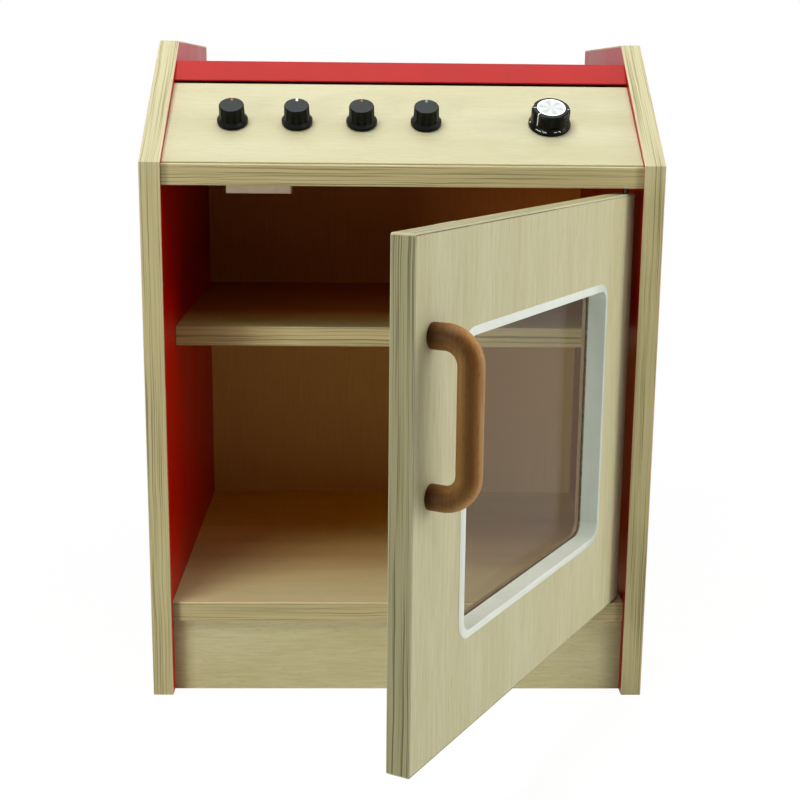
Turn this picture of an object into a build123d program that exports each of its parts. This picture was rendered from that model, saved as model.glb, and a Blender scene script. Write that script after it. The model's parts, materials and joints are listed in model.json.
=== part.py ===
from build123d import *
import math
import os

# Toy oven: a floor-standing play cabinet of laminated boards with one pivoting door.
# Millimetres. +Z is up, +Y runs from the door side to the back, +X is to the right.
# The origin is the middle of the plinth's underside, on the floor.

# --- carcass boards -------------------------------------------------------------
outer_width = 395.0  # over both sides
depth = 330.0  # front edge of a side to its rear edge
board = 16.0  # thickness of every board
top_height = 516.5  # top of the sides
console_rise = 91.0  # height of the leaning part of the sides' front edges
lean_run = 130.0  # how far the leaning edge runs back
laminate = 0.8  # red sheet on the inner face of a side
edge_band = 1.5  # strip on the visible board edges
arris = 1.0  # rounding of the bands

plinth_setback = 12.5
floor_top = 75.8
floor_setback = 9.0
shelf_top = 291.0
shelf_setback = 65.0
shelf_clearance = 0.3  # at each end of the loose shelf and behind it
top_board_drop = 1.0  # top of the top board below the bend of the sides
top_board_setback = 2.2

back_thickness = 4.0
back_lap = 8.0  # rebate width in each side
back_clearance = 0.3  # between the back panel and the rebates' ends
back_bottom = 8.0
back_drop = 2.0  # top of the rebates below the cover's top

# --- console: leaning control panel under a red cover board -----------------------
panel_setback = 6.9  # lower front corner behind the sides' front edge
panel_rounding = 0.8  # of the panel's lower front corner
panel_gap = 1.8  # dark joint between the panel's upper corner and the cover
cover_drop = 16.0  # top of the cover below the top of the sides
cover_bevel = 45.0  # degrees, slope of the cover's front face
cover_recess = 4.5  # upper front arris behind the sides' leaning edge
cover_lipping = 2.0
cover_arris = 0.8

# --- door -----------------------------------------------------------------------
door_open = 60.2  # degrees from closed, as it stands at rest
hinge_gap = 2.5  # between the closed door and the side it turns beside
latch_gap = 1.5  # between the closed door and the other side
door_bottom_gap = 1.3
door_head_gap = 4.3  # between the closed door and the top board
door_recess = 7.9  # closed door behind the sides' front edge
door_corner = 1.6
pivot_inset = 9.4  # pivot axis from the door's hinge edge
pivot_depth = 4.8  # pivot axis behind the door's outer face

free_stile = 63.6  # door's free edge to the bezel
hinge_stile = 52.5
bottom_rail = 64.1
top_rail = 62.4
window_corner = 14.5
lip_width = 5.6
lip_rim = 0.3  # upright edge round the lip
lip_shoulder_inset = 1.8  # where the lip's outer slope meets its inner slope
lip_shoulder = 0.95
lip_crest = 0.8  # flat ring beside the opening
lip_proud = 1.3
sleeve_wall = 2.6  # moulded sleeve between the opening and the door board
sleeve_draft = 0.9  # widening of the opening from the lip to the pane
pane_depth = 12.8  # front of the pane behind the door's outer face
pane_thickness = 2.0
pane_clearance = 0.3
retainer_lip = 9.0  # rear frame's overlap on the door's inner face
retainer_proud = 1.8
lip_rounding = 0.4
retainer_rounding = 0.5

handle_rod = 16.0  # diameter
handle_centres = 96.0
handle_standoff = 25.0  # axis of the grip from the door's face
handle_bend = 16.0  # radius of the bends at the rod's axis
foot_rounding = 0.6
handle_from_free_edge = 22.6
handle_middle_from_top = 108.0

# --- pivots ---------------------------------------------------------------------
pivot_pin_radius = 2.0
pivot_pin_grip = 14.0  # length of the pin in a board
pivot_pin_reach = 13.0  # length of the pin in the door
running_clearance = 0.05  # radial, between parts that turn on each other
bush_wall = 1.5
bush_end = 2.0  # closed end of a door bush beyond the pin
washer_radius = 4.6

# --- catch ------------------------------------------------------------------------
catch_length = 50.0
catch_depth = 16.0
catch_height = 7.5
catch_from_side = 71.5  # its middle from the inner face of the side
catch_gap = 0.3  # between the housing and the strike plate
catch_wall = 0.8  # in front of the magnet and below it
magnet_length = 22.0
magnet_depth = 9.0
magnet_height = 5.0
strike_width = 30.0
strike_height = 14.0
strike_thickness = 1.2
strike_drop = 0.3  # below the door's top edge
strike_corner = 1.5

# --- knobs ------------------------------------------------------------------------
small_knobs = 4
knob_from_side = 50.0  # first small knob from the inner face of the side
knob_spacing = 50.0
timer_from_side = 66.8  # large knob from the inner face of the other side
knob_from_crown = 52.6  # along the panel from its upper front corner
knob_clearance = 0.5  # between the panel and the underside of a knob
knob_height = 15.5
knob_skirt_radius = 12.0
knob_body_radius = 10.0
knob_top_radius = 9.6
knob_rim = 2.2  # height of the skirt's upright rim
knob_foot = 4.0  # where the skirt's cone meets the body
knob_flutes = 12
flute_radius = 0.95
knob_rounding = 0.9
pointer_width = 1.8
pointer_inner = 5.4
timer_height = 15.3
timer_skirt_radius = 16.5
timer_body_radius = 15.0
timer_rim = 1.6
timer_foot = 4.6
timer_scallops = 6
scallop_radius = 8.0
scallop_depth = 1.3
timer_rounding = 2.6
cap_radius = 11.0
cap_thickness = 1.0
cap_rim = 0.9  # width of the raised ring round the cap
cap_dish = 0.2  # depth of the cap's middle below its ring
cap_proud = 0.3
cap_rounding = 0.1
timer_line_width = 0.9
timer_line_turn = 129.0  # degrees anticlockwise from straight up the panel
spindle_radius = 3.0
spindle_in_knob = 11.0
spindle_tail = 6.0  # behind the bush
shoulder_radius = 4.6
shoulder_length = 2.0
shoulder_clearance = 0.1
spindle_bush_wall = 1.5
flange_radius = 7.0
flange_thickness = 1.5

# --- fasteners ----------------------------------------------------------------------
fit_clearance = 0.05  # radial, round fixed pins, screws and bushes
cross_ratio = 4  # length to width of the cross recess in a screw head
side_screw_radius = 2.5
side_screw_grip = 32.0  # length in the board end
side_head_radius = 5.0
side_head_height = 3.0
side_cap_height = 2.0
side_screw_spread = 105.0  # front to rear screw of a board
plinth_screw_height = 30.0
small_screw_radius = 1.5
small_head_radius = 3.2
back_screw_grip = 14.0
back_screw_spacing = 140.0
shelf_pin_radius = 2.5
shelf_pin_grip = 9.0
shelf_pin_reach = 9.0
shelf_pin_inset = 35.0
handle_screw_radius = 2.0
handle_screw_grip = 14.0
handle_head_radius = 4.2
handle_head_height = 2.4
retainer_screw_radius = 1.2
retainer_head_radius = 2.4
retainer_screw_grip = 8.0
catch_screw_spread = 36.0
strike_head_radius = 2.6
strike_screw_grip = 10.0
catch_screw_grip = 9.0

# --- places that follow from the sizes above ------------------------------------------
front = -(plinth_setback + board / 2)
rear = front + depth
half_outer = outer_width / 2
half_inner = half_outer - board
back_face = rear - back_thickness
bend_height = top_height - console_rise
lean_angle = math.atan2(console_rise, lean_run)
top_board_top = bend_height - top_board_drop

bevel = math.radians(cover_bevel)
cover_top = top_height - cover_drop
cover_underside = cover_top - board
cover_brow = front + (cover_top - bend_height) / math.tan(lean_angle) + cover_recess
cover_foot = cover_brow - board / math.tan(bevel)
back_top = cover_top - back_drop

panel_foot = front + panel_setback
panel_run = cover_foot - panel_foot
panel_rise = cover_underside - panel_gap - top_board_top
panel_length = math.hypot(panel_run, panel_rise)
tilt = math.atan2(panel_rise, panel_run)
panel_plane = Plane(
    origin=(0, panel_foot, top_board_top),
    x_dir=(1, 0, 0),
    z_dir=(0, -math.sin(tilt), math.cos(tilt)),
)

door_width = 2 * half_inner - hinge_gap - latch_gap
door_bottom = floor_top + door_bottom_gap
door_top = top_board_top - board - door_head_gap
door_height = door_top - door_bottom
door_out = pivot_depth  # outer face of the door, in front of the pivot axis
door_in = pivot_depth - board  # inner face of the door
hinge_edge = pivot_inset
free_edge = hinge_edge - door_width
pivot_x = half_inner - hinge_gap - pivot_inset
pivot_y = front + door_recess + pivot_depth
swing = math.radians(door_open)

window_width = door_width - free_stile - hinge_stile  # over the bezel's lip
window_height = door_height - bottom_rail - top_rail
window_x = hinge_edge - hinge_stile - window_width / 2
window_z = door_bottom + bottom_rail + window_height / 2
hole_inset = lip_width - sleeve_wall  # from the lip's outline to the door's hole
light_inset = lip_width - sleeve_draft  # from the lip's outline to the light at the pane
handle_x = free_edge + handle_from_free_edge
handle_z = door_top - handle_middle_from_top

catch_middle = catch_from_side - half_inner
knob_places = [knob_from_side - half_inner + i * knob_spacing for i in range(small_knobs)]
timer_place = half_inner - timer_from_side
knob_up_panel = panel_length - knob_from_crown

sunk = (Align.CENTER, Align.CENTER, Align.MAX)  # below the plane it is placed on

os.makedirs("parts", exist_ok=True)


def keep(piece, name):
    """Labels a finished sub-part and writes it."""
    piece.part.label = name
    export_step(piece.part, f"parts/{name}.step")


def door_plane(out):
    """The door's own plane, its X towards the hinge edge, its Y up, `out` in front of the pivot."""
    normal = Vector(math.sin(swing), -math.cos(swing), 0)
    origin = Vector(pivot_x, pivot_y, 0) + normal * out
    return Plane(origin=origin, x_dir=(math.cos(swing), math.sin(swing), 0), z_dir=normal)


def side_outline(inset):
    """Front, leaning and top edges of a side, moved inwards by `inset`, as (Y, Z) points."""
    top = top_height - inset
    lean_y = front + (top - bend_height) / math.tan(lean_angle) + inset / math.sin(lean_angle)
    bend_z = bend_height - inset * (1 / math.sin(lean_angle) - 1) * math.tan(lean_angle)
    return [(front + inset, 0), (front + inset, bend_z), (lean_y, top), (rear, top)]


# --- what the side screws hold: one (Y, Z) place each --------------------------------------
floor_middle = (front + rear) / 2
cover_middle = (cover_foot + rear) / 2
floor_screws = [(floor_middle + s * side_screw_spread, floor_top - board / 2) for s in (-1, 1)]
top_screws = [(floor_middle + s * side_screw_spread, top_board_top - board / 2) for s in (-1, 1)]
cover_screws = [(cover_middle + s * side_screw_spread / 2, cover_top - board / 2) for s in (-1, 1)]
plinth_screws = [(0, plinth_screw_height)]
panel_middle = panel_plane.from_local_coords((0, panel_length / 2, -board / 2))
panel_screws = [(panel_middle.Y, panel_middle.Z)]
side_screws = floor_screws + top_screws + cover_screws + plinth_screws + panel_screws

shelf_front = front + shelf_setback
shelf_rear = back_face - shelf_clearance
shelf_pin_z = shelf_top - board - shelf_pin_radius - fit_clearance
shelf_pin_places = [(y, shelf_pin_z) for y in (shelf_front + shelf_pin_inset, shelf_rear - shelf_pin_inset)]


def across(side, x, places):
    """Planes that face outwards through one side at distance x from the middle."""
    return [Plane(origin=(side * x, y, z), x_dir=(0, 1, 0), z_dir=(side, 0, 0)) for y, z in places]


def bore_ends(places):
    """Bores both ends of a board for the side screws."""
    for side in (-1, 1):
        with Locations(*across(side, half_inner, places)):
            Hole(side_screw_radius + fit_clearance, side_screw_grip)


def bore_back(height):
    """Bores the rear edge of a board for the back panel's screws."""
    with Locations(*back_screw_planes(back_face, height)):
        Hole(small_screw_radius + fit_clearance, back_screw_grip)


def back_screw_planes(y, height):
    """Planes that face the back at depth y, one for each back screw at one height."""
    return [
        Plane(origin=(i * back_screw_spacing, y, height), x_dir=(1, 0, 0), z_dir=(0, 1, 0))
        for i in (-1, 0, 1)
    ]


def cross_recess(length):
    """Cuts a cross into the plane it is placed on, for a screwdriver."""
    width = length / cross_ratio
    Box(length, width, length / 2, align=sunk, mode=Mode.SUBTRACT)
    Box(width, length, length / 2, align=sunk, mode=Mode.SUBTRACT)


def countersunk_screw(radius, head_radius, length):
    """A cross-recessed screw sunk flush with the plane it is placed on, pointing into it."""
    Cylinder(radius, length - fit_clearance, align=sunk)
    Cone(radius, head_radius, head_radius - radius, align=sunk)
    cross_recess(head_radius)


def slab(half_width, y_low, y_high, z_low, z_high, mode=Mode.ADD):
    """A level block between two depths and two heights, centred on X."""
    with BuildSketch(Plane.XY.offset(z_low)) as footprint:
        with Locations((0, (y_low + y_high) / 2)):
            Rectangle(2 * half_width, y_high - y_low)
    extrude(footprint.sketch, amount=z_high - z_low, mode=mode)


# --- sides ------------------------------------------------------------------------------
def side_rebate(x_low, width):
    """Takes the back panel's rebate out of a side."""
    with BuildSketch(Plane.YZ.offset(x_low)) as rebate:
        with Locations(((back_face + rear) / 2, back_top / 2)):
            Rectangle(back_thickness, back_top)
    extrude(rebate.sketch, amount=width, mode=Mode.SUBTRACT)


for side, hand in ((-1, "left"), (1, "right")):
    sheet_x = half_inner + laminate
    core_low = min(side * half_outer, side * sheet_x)
    sheet_low = min(side * half_inner, side * sheet_x)
    board_low = min(side * half_outer, side * half_inner)
    lap_low = min(side * half_inner, side * (half_inner + back_lap))

    with BuildPart() as side_board:
        with BuildSketch(Plane.YZ.offset(core_low)):
            with BuildLine():
                Polyline(*side_outline(edge_band), (rear, 0), close=True)
            make_face()
        extrude(amount=board - laminate)
        side_rebate(lap_low, back_lap)
        with Locations(*across(side, half_outer, side_screws)):
            CounterBoreHole(
                side_screw_radius + fit_clearance,
                side_head_radius + fit_clearance,
                side_head_height + side_cap_height,
            )
        with Locations(*across(-side, -sheet_x, shelf_pin_places)):
            Hole(shelf_pin_radius + fit_clearance, shelf_pin_grip - laminate)
    keep(side_board, f"side_board_{hand}")

    with BuildPart() as side_laminate:
        with BuildSketch(Plane.YZ.offset(sheet_low)):
            with BuildLine():
                Polyline(*side_outline(edge_band), (rear, 0), close=True)
            make_face()
        extrude(amount=laminate)
        side_rebate(lap_low, back_lap)
        with Locations(*across(side, sheet_x, side_screws)):
            Hole(side_screw_radius + fit_clearance)
        with Locations(*across(side, sheet_x, shelf_pin_places)):
            Hole(shelf_pin_radius + fit_clearance)
    keep(side_laminate, f"side_laminate_{hand}")

    with BuildPart() as side_edge_band:
        with BuildSketch(Plane.YZ.offset(board_low)):
            with BuildLine():
                Polyline(*side_outline(0), *reversed(side_outline(edge_band)), close=True)
            make_face()
        extrude(amount=board)
        lean = Axis((0, 0, 0), (0, math.cos(lean_angle), math.sin(lean_angle)))
        lean_out = Axis((0, 0, 0), (0, -math.sin(lean_angle), math.cos(lean_angle)))
        upright_edges = side_edge_band.edges().filter_by(Axis.Z).group_by(Axis.Y)[0]
        leaning_edges = side_edge_band.edges().filter_by(lean).group_by(lean_out)[-1]
        level_edges = side_edge_band.edges().filter_by(Axis.Y).group_by(Axis.Z)[-1]
        fillet(upright_edges + leaning_edges + level_edges, arris)
    keep(side_edge_band, f"side_edge_band_{hand}")

# --- level boards with a banded front edge -------------------------------------------------
pivot_bore = pivot_pin_radius + fit_clearance
catch_front = front + door_recess + board + strike_thickness + catch_gap
catch_screw_places = [
    (catch_middle + s * catch_screw_spread / 2, catch_front + catch_depth / 2) for s in (-1, 1)
]


def front_band(half_width, y_front, z_top):
    """The strip on the front edge of a level board, with rounded long edges."""
    with BuildPart() as band:
        slab(half_width, y_front, y_front + edge_band, z_top - board, z_top)
        fillet(band.edges().filter_by(Axis.X).group_by(Axis.Y)[0], arris)
    return band


with BuildPart() as floor_board:
    slab(half_inner, front + floor_setback + edge_band, back_face, floor_top - board, floor_top)
    bore_ends(floor_screws)
    bore_back(floor_top - board / 2)
    with Locations(Plane.XY.offset(floor_top) * Location((pivot_x, pivot_y))):
        Hole(pivot_bore, pivot_pin_grip)
keep(floor_board, "floor_board")
keep(front_band(half_inner, front + floor_setback, floor_top), "floor_edge_band")

with BuildPart() as shelf_board:
    slab(half_inner - shelf_clearance, shelf_front + edge_band, shelf_rear, shelf_top - board, shelf_top)
keep(shelf_board, "shelf_board")
keep(front_band(half_inner - shelf_clearance, shelf_front, shelf_top), "shelf_edge_band")

with BuildPart() as top_board:
    slab(
        half_inner,
        front + top_board_setback + edge_band,
        back_face,
        top_board_top - board,
        top_board_top,
    )
    bore_ends(top_screws)
    bore_back(top_board_top - board / 2)
    with Locations(Plane.XY.offset(top_board_top) * Location((pivot_x, pivot_y))):
        Hole(pivot_bore)
    underside = Plane(origin=(0, 0, top_board_top - board), x_dir=(1, 0, 0), z_dir=(0, 0, -1))
    with Locations(*[underside * Location((x, -y)) for x, y in catch_screw_places]):
        Hole(small_screw_radius + fit_clearance, catch_screw_grip)
keep(top_board, "top_board")
keep(front_band(half_inner, front + top_board_setback, top_board_top), "top_edge_band")

with BuildPart() as plinth_board:
    slab(half_inner, -board / 2, board / 2, 0, floor_top - board)
    bore_ends(plinth_screws)
keep(plinth_board, "plinth_board")

# --- back panel -----------------------------------------------------------------------
back_screw_heights = [floor_top - board / 2, top_board_top - board / 2, cover_top - board / 2]
back_screw_places = [p for z in back_screw_heights for p in back_screw_planes(rear, z)]

with BuildPart() as back_panel:
    slab(half_inner + back_lap - back_clearance, back_face, rear, back_bottom, back_top - back_clearance)
    with Locations(*back_screw_places):
        CounterSinkHole(
            small_screw_radius + fit_clearance,
            small_head_radius + fit_clearance,
            counter_sink_angle=90,
        )
keep(back_panel, "back_panel")

# --- console --------------------------------------------------------------------------
spindle_bush_radius = spindle_radius + running_clearance + spindle_bush_wall
knob_xs = knob_places + [timer_place]


def knob_plane(x, out=0):
    """The plane of one knob: on the panel's face, square to its spindle."""
    origin = panel_plane.from_local_coords((x, knob_up_panel, out))
    return Plane(origin=origin, x_dir=(1, 0, 0), z_dir=panel_plane.z_dir)


with BuildPart() as control_panel:
    with BuildSketch(Plane.YZ.offset(-half_inner)):
        with BuildLine():
            foot = Vector(panel_foot, top_board_top)
            up = Vector(math.cos(tilt), math.sin(tilt))
            inwards = Vector(math.sin(tilt), -math.cos(tilt))
            crown = foot + up * panel_length
            heel_up = board * math.cos(tilt) / math.sin(tilt)
            heel = foot + inwards * board + up * heel_up
            Polyline(foot, crown, crown + inwards * board, heel, close=True)
        make_face()
    extrude(amount=2 * half_inner)
    with Locations(*[knob_plane(x) for x in knob_xs]):
        Hole(spindle_bush_radius + fit_clearance)
    bore_ends(panel_screws)
    fillet(control_panel.edges().filter_by(Axis.X).group_by(Axis.Y)[0], panel_rounding)
keep(control_panel, "control_panel")

lipping_run = cover_lipping / math.sin(bevel)


def cover_points(y_foot, run):
    """The leaning front of the cover as a slanted strip, `run` wide on the level."""
    reach = board / math.tan(bevel)
    return [
        (y_foot, cover_underside),
        (y_foot + reach, cover_top),
        (y_foot + reach + run, cover_top),
        (y_foot + run, cover_underside),
    ]


with BuildPart() as cover_lip:
    with BuildSketch(Plane.YZ.offset(-half_inner)):
        with BuildLine():
            Polyline(*cover_points(cover_foot, lipping_run), close=True)
        make_face()
    extrude(amount=2 * half_inner)
    lip_edges = cover_lip.edges().filter_by(Axis.X)
    fillet([lip_edges.sort_by(Axis.Y)[0], lip_edges.group_by(Axis.Z)[-1].sort_by(Axis.Y)[0]], cover_arris)
keep(cover_lip, "cover_lipping")

with BuildPart() as cover_board:
    with BuildSketch(Plane.YZ.offset(-half_inner)):
        with BuildLine():
            low, high, _, _ = cover_points(cover_foot + lipping_run, 0)
            Polyline(low, high, (back_face, cover_top), (back_face, cover_underside), close=True)
        make_face()
    extrude(amount=2 * half_inner)
    bore_ends(cover_screws)
    bore_back(cover_top - board / 2)
keep(cover_board, "cover_board")

# --- carcass fasteners -------------------------------------------------------------------
with BuildPart() as carcass_screws:
    for side in (-1, 1):
        with Locations(*across(side, half_outer - side_cap_height, side_screws)):
            Cylinder(side_head_radius, side_head_height, align=sunk)
            Cylinder(
                side_screw_radius,
                board - side_cap_height + side_screw_grip - fit_clearance,
                align=sunk,
            )
keep(carcass_screws, "carcass_screws")

with BuildPart() as screw_caps:
    for side in (-1, 1):
        with Locations(*across(side, half_outer, side_screws)):
            Cylinder(side_head_radius, side_cap_height, align=sunk)
keep(screw_caps, "screw_caps")

with BuildPart() as back_screws:
    with Locations(*back_screw_places):
        countersunk_screw(small_screw_radius, small_head_radius, back_thickness + back_screw_grip)
keep(back_screws, "back_screws")

with BuildPart() as shelf_pins:
    for side in (-1, 1):
        with Locations(*across(side, half_inner + shelf_pin_grip - fit_clearance, shelf_pin_places)):
            Cylinder(shelf_pin_radius, shelf_pin_grip + shelf_pin_reach, align=sunk)
keep(shelf_pins, "shelf_pins")

# --- pivots ------------------------------------------------------------------------------
pivot_pin_length = pivot_pin_grip + door_bottom_gap + pivot_pin_reach
bush_radius = pivot_pin_radius + running_clearance + bush_wall
bush_length = pivot_pin_reach + bush_end

with BuildPart() as pivot_pins:
    with BuildSketch(Plane.XY.offset(floor_top - pivot_pin_grip)):
        with Locations((pivot_x, pivot_y)):
            Circle(pivot_pin_radius)
    extrude(amount=pivot_pin_length)
    with BuildSketch(Plane.XY.offset(door_top - pivot_pin_reach)):
        with Locations((pivot_x, pivot_y)):
            Circle(pivot_pin_radius)
    extrude(amount=pivot_pin_reach + door_head_gap + pivot_pin_grip)
    chamfer(pivot_pins.edges().filter_by(GeomType.CIRCLE), pivot_pin_radius / 6)
keep(pivot_pins, "pivot_pins")

with BuildPart() as pivot_washer:
    with BuildSketch(Plane.XY.offset(floor_top)):
        with Locations((pivot_x, pivot_y)):
            Circle(washer_radius)
            Circle(pivot_bore, mode=Mode.SUBTRACT)
    extrude(amount=door_bottom_gap)
keep(pivot_washer, "pivot_washer")

with BuildPart() as pivot_bushes:
    for low, mouth in ((door_bottom, 0), (door_top - bush_length, bush_end)):
        with BuildSketch(Plane.XY.offset(low)):
            with Locations((pivot_x, pivot_y)):
                Circle(bush_radius)
        extrude(amount=bush_length)
        with BuildSketch(Plane.XY.offset(low + mouth)):
            with Locations((pivot_x, pivot_y)):
                Circle(pivot_pin_radius + running_clearance)
        extrude(amount=pivot_pin_reach, mode=Mode.SUBTRACT)
keep(pivot_bushes, "pivot_bushes")

# --- catch -------------------------------------------------------------------------------
catch_bottom = top_board_top - board - catch_height
magnet_low = catch_bottom + catch_wall
magnet_front = catch_front + catch_wall
catch_seat = Plane(origin=(0, 0, catch_bottom), x_dir=(1, 0, 0), z_dir=(0, 0, -1))
catch_screw_seats = [catch_seat * Location((x, -y)) for x, y in catch_screw_places]

with BuildPart() as catch_housing:
    with BuildSketch(Plane.XY.offset(catch_bottom)):
        with Locations((catch_middle, catch_front + catch_depth / 2)):
            RectangleRounded(catch_length, catch_depth, arris)
    extrude(amount=catch_height)
    fillet(catch_housing.faces().sort_by(Axis.Z)[0].edges(), catch_wall / 2)
    with BuildSketch(Plane.XY.offset(magnet_low)):
        with Locations((catch_middle, magnet_front + magnet_depth / 2)):
            Rectangle(magnet_length + 2 * fit_clearance, magnet_depth + 2 * fit_clearance)
    extrude(amount=catch_height, mode=Mode.SUBTRACT)
    with Locations(*catch_screw_seats):
        CounterSinkHole(
            small_screw_radius + fit_clearance,
            small_head_radius + fit_clearance,
            counter_sink_angle=90,
        )
keep(catch_housing, "catch_housing")

with BuildPart() as catch_magnet:
    with BuildSketch(Plane.XY.offset(magnet_low)):
        with Locations((catch_middle, magnet_front + magnet_depth / 2)):
            Rectangle(magnet_length, magnet_depth)
    extrude(amount=magnet_height)
keep(catch_magnet, "catch_magnet")

with BuildPart() as catch_screws:
    with Locations(*catch_screw_seats):
        countersunk_screw(small_screw_radius, small_head_radius, catch_height + catch_screw_grip)
keep(catch_screws, "catch_screws")

# --- door --------------------------------------------------------------------------------
door_mid_x = (hinge_edge + free_edge) / 2
door_mid_z = (door_bottom + door_top) / 2
retainer_edge = hole_inset - retainer_lip  # from the bezel's outline, outwards if negative
retainer_row_x = window_width / 2 - hole_inset + retainer_lip / 2
retainer_row_z = window_height / 2 - hole_inset + retainer_lip / 2
retainer_screw_places = [
    (window_x + i * window_width / 3, window_z + j * retainer_row_z)
    for i in (-1, 0, 1)
    for j in (-1, 1)
] + [(window_x + i * retainer_row_x, window_z) for i in (-1, 1)]
outer_face = door_plane(door_out)
outwards = Axis((0, 0, 0), outer_face.z_dir)
handle_feet = [(handle_x, handle_z + s * handle_centres / 2) for s in (-1, 1)]
strike_place = (catch_middle - pivot_x, door_top - strike_drop - strike_height / 2)


def window_shape(inset, mode=Mode.ADD):
    """A rounded rectangle parallel to the bezel's outline, `inset` inside it."""
    with Locations((window_x, window_z)):
        RectangleRounded(
            window_width - 2 * inset,
            window_height - 2 * inset,
            window_corner - inset,
            mode=mode,
        )


def door_core(mode=Mode.ADD):
    """The outline of the door's board, inside its edge strip."""
    with Locations((door_mid_x, door_mid_z)):
        Rectangle(door_width - 2 * edge_band, door_height - 2 * edge_band, mode=mode)


def bush_bores():
    """Bores the door's lower and upper edges for the pivot bushes."""
    lower = Plane(origin=(pivot_x, pivot_y, door_bottom), z_dir=(0, 0, -1))
    upper = Plane(origin=(pivot_x, pivot_y, door_top), z_dir=(0, 0, 1))
    with Locations(lower, upper):
        Hole(bush_radius + fit_clearance, bush_length)


def on_door(out, places, way=1):
    """Planes on the door at its own X and height, facing out (way 1) or into the oven (-1)."""
    face = door_plane(out)
    return [
        Plane(origin=face.from_local_coords((x, z, 0)), x_dir=face.x_dir, z_dir=face.z_dir * way)
        for x, z in places
    ]


with BuildPart() as door_board:
    with BuildSketch(door_plane(door_in)):
        door_core()
        window_shape(hole_inset, Mode.SUBTRACT)
    extrude(amount=board)
    bush_bores()
    with Locations(*on_door(door_out, handle_feet)):
        Hole(handle_screw_radius + fit_clearance)
    with Locations(*on_door(door_in, retainer_screw_places, -1)):
        Hole(retainer_screw_radius + fit_clearance, retainer_screw_grip)
    with Locations(*on_door(door_in, [strike_place], -1)):
        Hole(small_screw_radius + fit_clearance, strike_screw_grip)
keep(door_board, "door_board")

with BuildPart() as door_edge_band:
    with BuildSketch(door_plane(door_in)):
        with Locations((door_mid_x, door_mid_z)):
            RectangleRounded(door_width, door_height, door_corner)
        door_core(Mode.SUBTRACT)
    extrude(amount=board)
    outline_edges = [
        edge
        for face in door_edge_band.faces().filter_by(outer_face)
        for edge in face.outer_wire().edges()
    ]
    fillet(outline_edges, arris)
    bush_bores()
keep(door_edge_band, "door_edge_band")

with BuildPart() as window_bezel:
    with BuildSketch(door_plane(door_out)):
        window_shape(0)
    extrude(amount=lip_rim)
    lip_slopes = [(0, lip_rim), (lip_shoulder_inset, lip_shoulder), (lip_width - lip_crest, lip_proud)]
    for slope in zip(lip_slopes, lip_slopes[1:]):
        for inset, height in slope:
            with BuildSketch(door_plane(door_out + height)):
                window_shape(inset)
        loft()
    with BuildSketch(door_plane(door_out - pane_depth)):
        window_shape(hole_inset + fit_clearance)
    extrude(amount=pane_depth)
    for inset, height in ((light_inset, -pane_depth), (lip_width, lip_proud)):
        with BuildSketch(door_plane(door_out + height)):
            window_shape(inset)
    loft(mode=Mode.SUBTRACT)
    crest = window_bezel.faces().filter_by(outer_face).sort_by(outwards)[-1]
    fillet(crest.inner_wires()[0].edges(), lip_rounding)
keep(window_bezel, "window_bezel")

with BuildPart() as window_pane:
    with BuildSketch(door_plane(door_out - pane_depth - pane_thickness)):
        window_shape(hole_inset + pane_clearance)
    extrude(amount=pane_thickness)
keep(window_pane, "window_pane")

with BuildPart() as window_retainer:
    with BuildSketch(door_plane(door_in - retainer_proud)):
        window_shape(retainer_edge)
        window_shape(light_inset, Mode.SUBTRACT)
    extrude(amount=retainer_proud)
    fillet(window_retainer.faces().sort_by(outwards)[0].edges(), retainer_rounding)
    with BuildSketch(door_plane(door_in)):
        window_shape(hole_inset + fit_clearance)
        window_shape(light_inset, Mode.SUBTRACT)
    extrude(amount=board - pane_depth - pane_thickness)
    with Locations(*on_door(door_in - retainer_proud, retainer_screw_places, -1)):
        CounterSinkHole(
            retainer_screw_radius + fit_clearance,
            retainer_head_radius + fit_clearance,
            counter_sink_angle=90,
        )
keep(window_retainer, "window_retainer")

with BuildPart() as retainer_screws:
    with Locations(*on_door(door_in - retainer_proud, retainer_screw_places, -1)):
        countersunk_screw(
            retainer_screw_radius,
            retainer_head_radius,
            retainer_proud + retainer_screw_grip,
        )
keep(retainer_screws, "retainer_screws")

grip_plane = Plane(
    origin=outer_face.from_local_coords((handle_x, handle_z, 0)),
    x_dir=outer_face.z_dir,
    z_dir=-outer_face.x_dir,
)
half_grip = handle_centres / 2

with BuildPart() as door_handle:
    with BuildLine(grip_plane) as grip_line:
        FilletPolyline(
            (0, -half_grip),
            (handle_standoff, -half_grip),
            (handle_standoff, half_grip),
            (0, half_grip),
            radius=handle_bend,
        )
    with BuildSketch(Plane(origin=grip_line.line @ 0, z_dir=grip_line.line % 0)):
        Circle(handle_rod / 2)
    sweep()
    fillet(door_handle.edges().filter_by(GeomType.CIRCLE).filter_by(outer_face), foot_rounding)
    with Locations(*on_door(door_out, handle_feet, -1)):
        Hole(handle_screw_radius + fit_clearance, handle_screw_grip)
keep(door_handle, "door_handle")

with BuildPart() as handle_screws:
    with Locations(*on_door(door_in, handle_feet, -1)):
        Cylinder(handle_screw_radius, board + handle_screw_grip - fit_clearance, align=sunk)
        Cylinder(
            handle_head_radius,
            handle_head_height,
            align=(Align.CENTER, Align.CENTER, Align.MIN),
        )
    crowns = handle_screws.faces().sort_by(outwards)[:2]
    fillet([edge for face in crowns for edge in face.edges()], handle_head_height / 2)
    with Locations(*on_door(door_in - handle_head_height, handle_feet, -1)):
        cross_recess(handle_head_radius)
keep(handle_screws, "handle_screws")

with BuildPart() as strike_plate:
    with BuildSketch(door_plane(door_in - strike_thickness)):
        with Locations(strike_place):
            RectangleRounded(strike_width, strike_height, strike_corner)
    extrude(amount=strike_thickness)
    with Locations(*on_door(door_in - strike_thickness, [strike_place], -1)):
        CounterSinkHole(
            small_screw_radius + fit_clearance,
            strike_head_radius + fit_clearance,
            counter_sink_angle=90,
        )
keep(strike_plate, "strike_plate")

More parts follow.
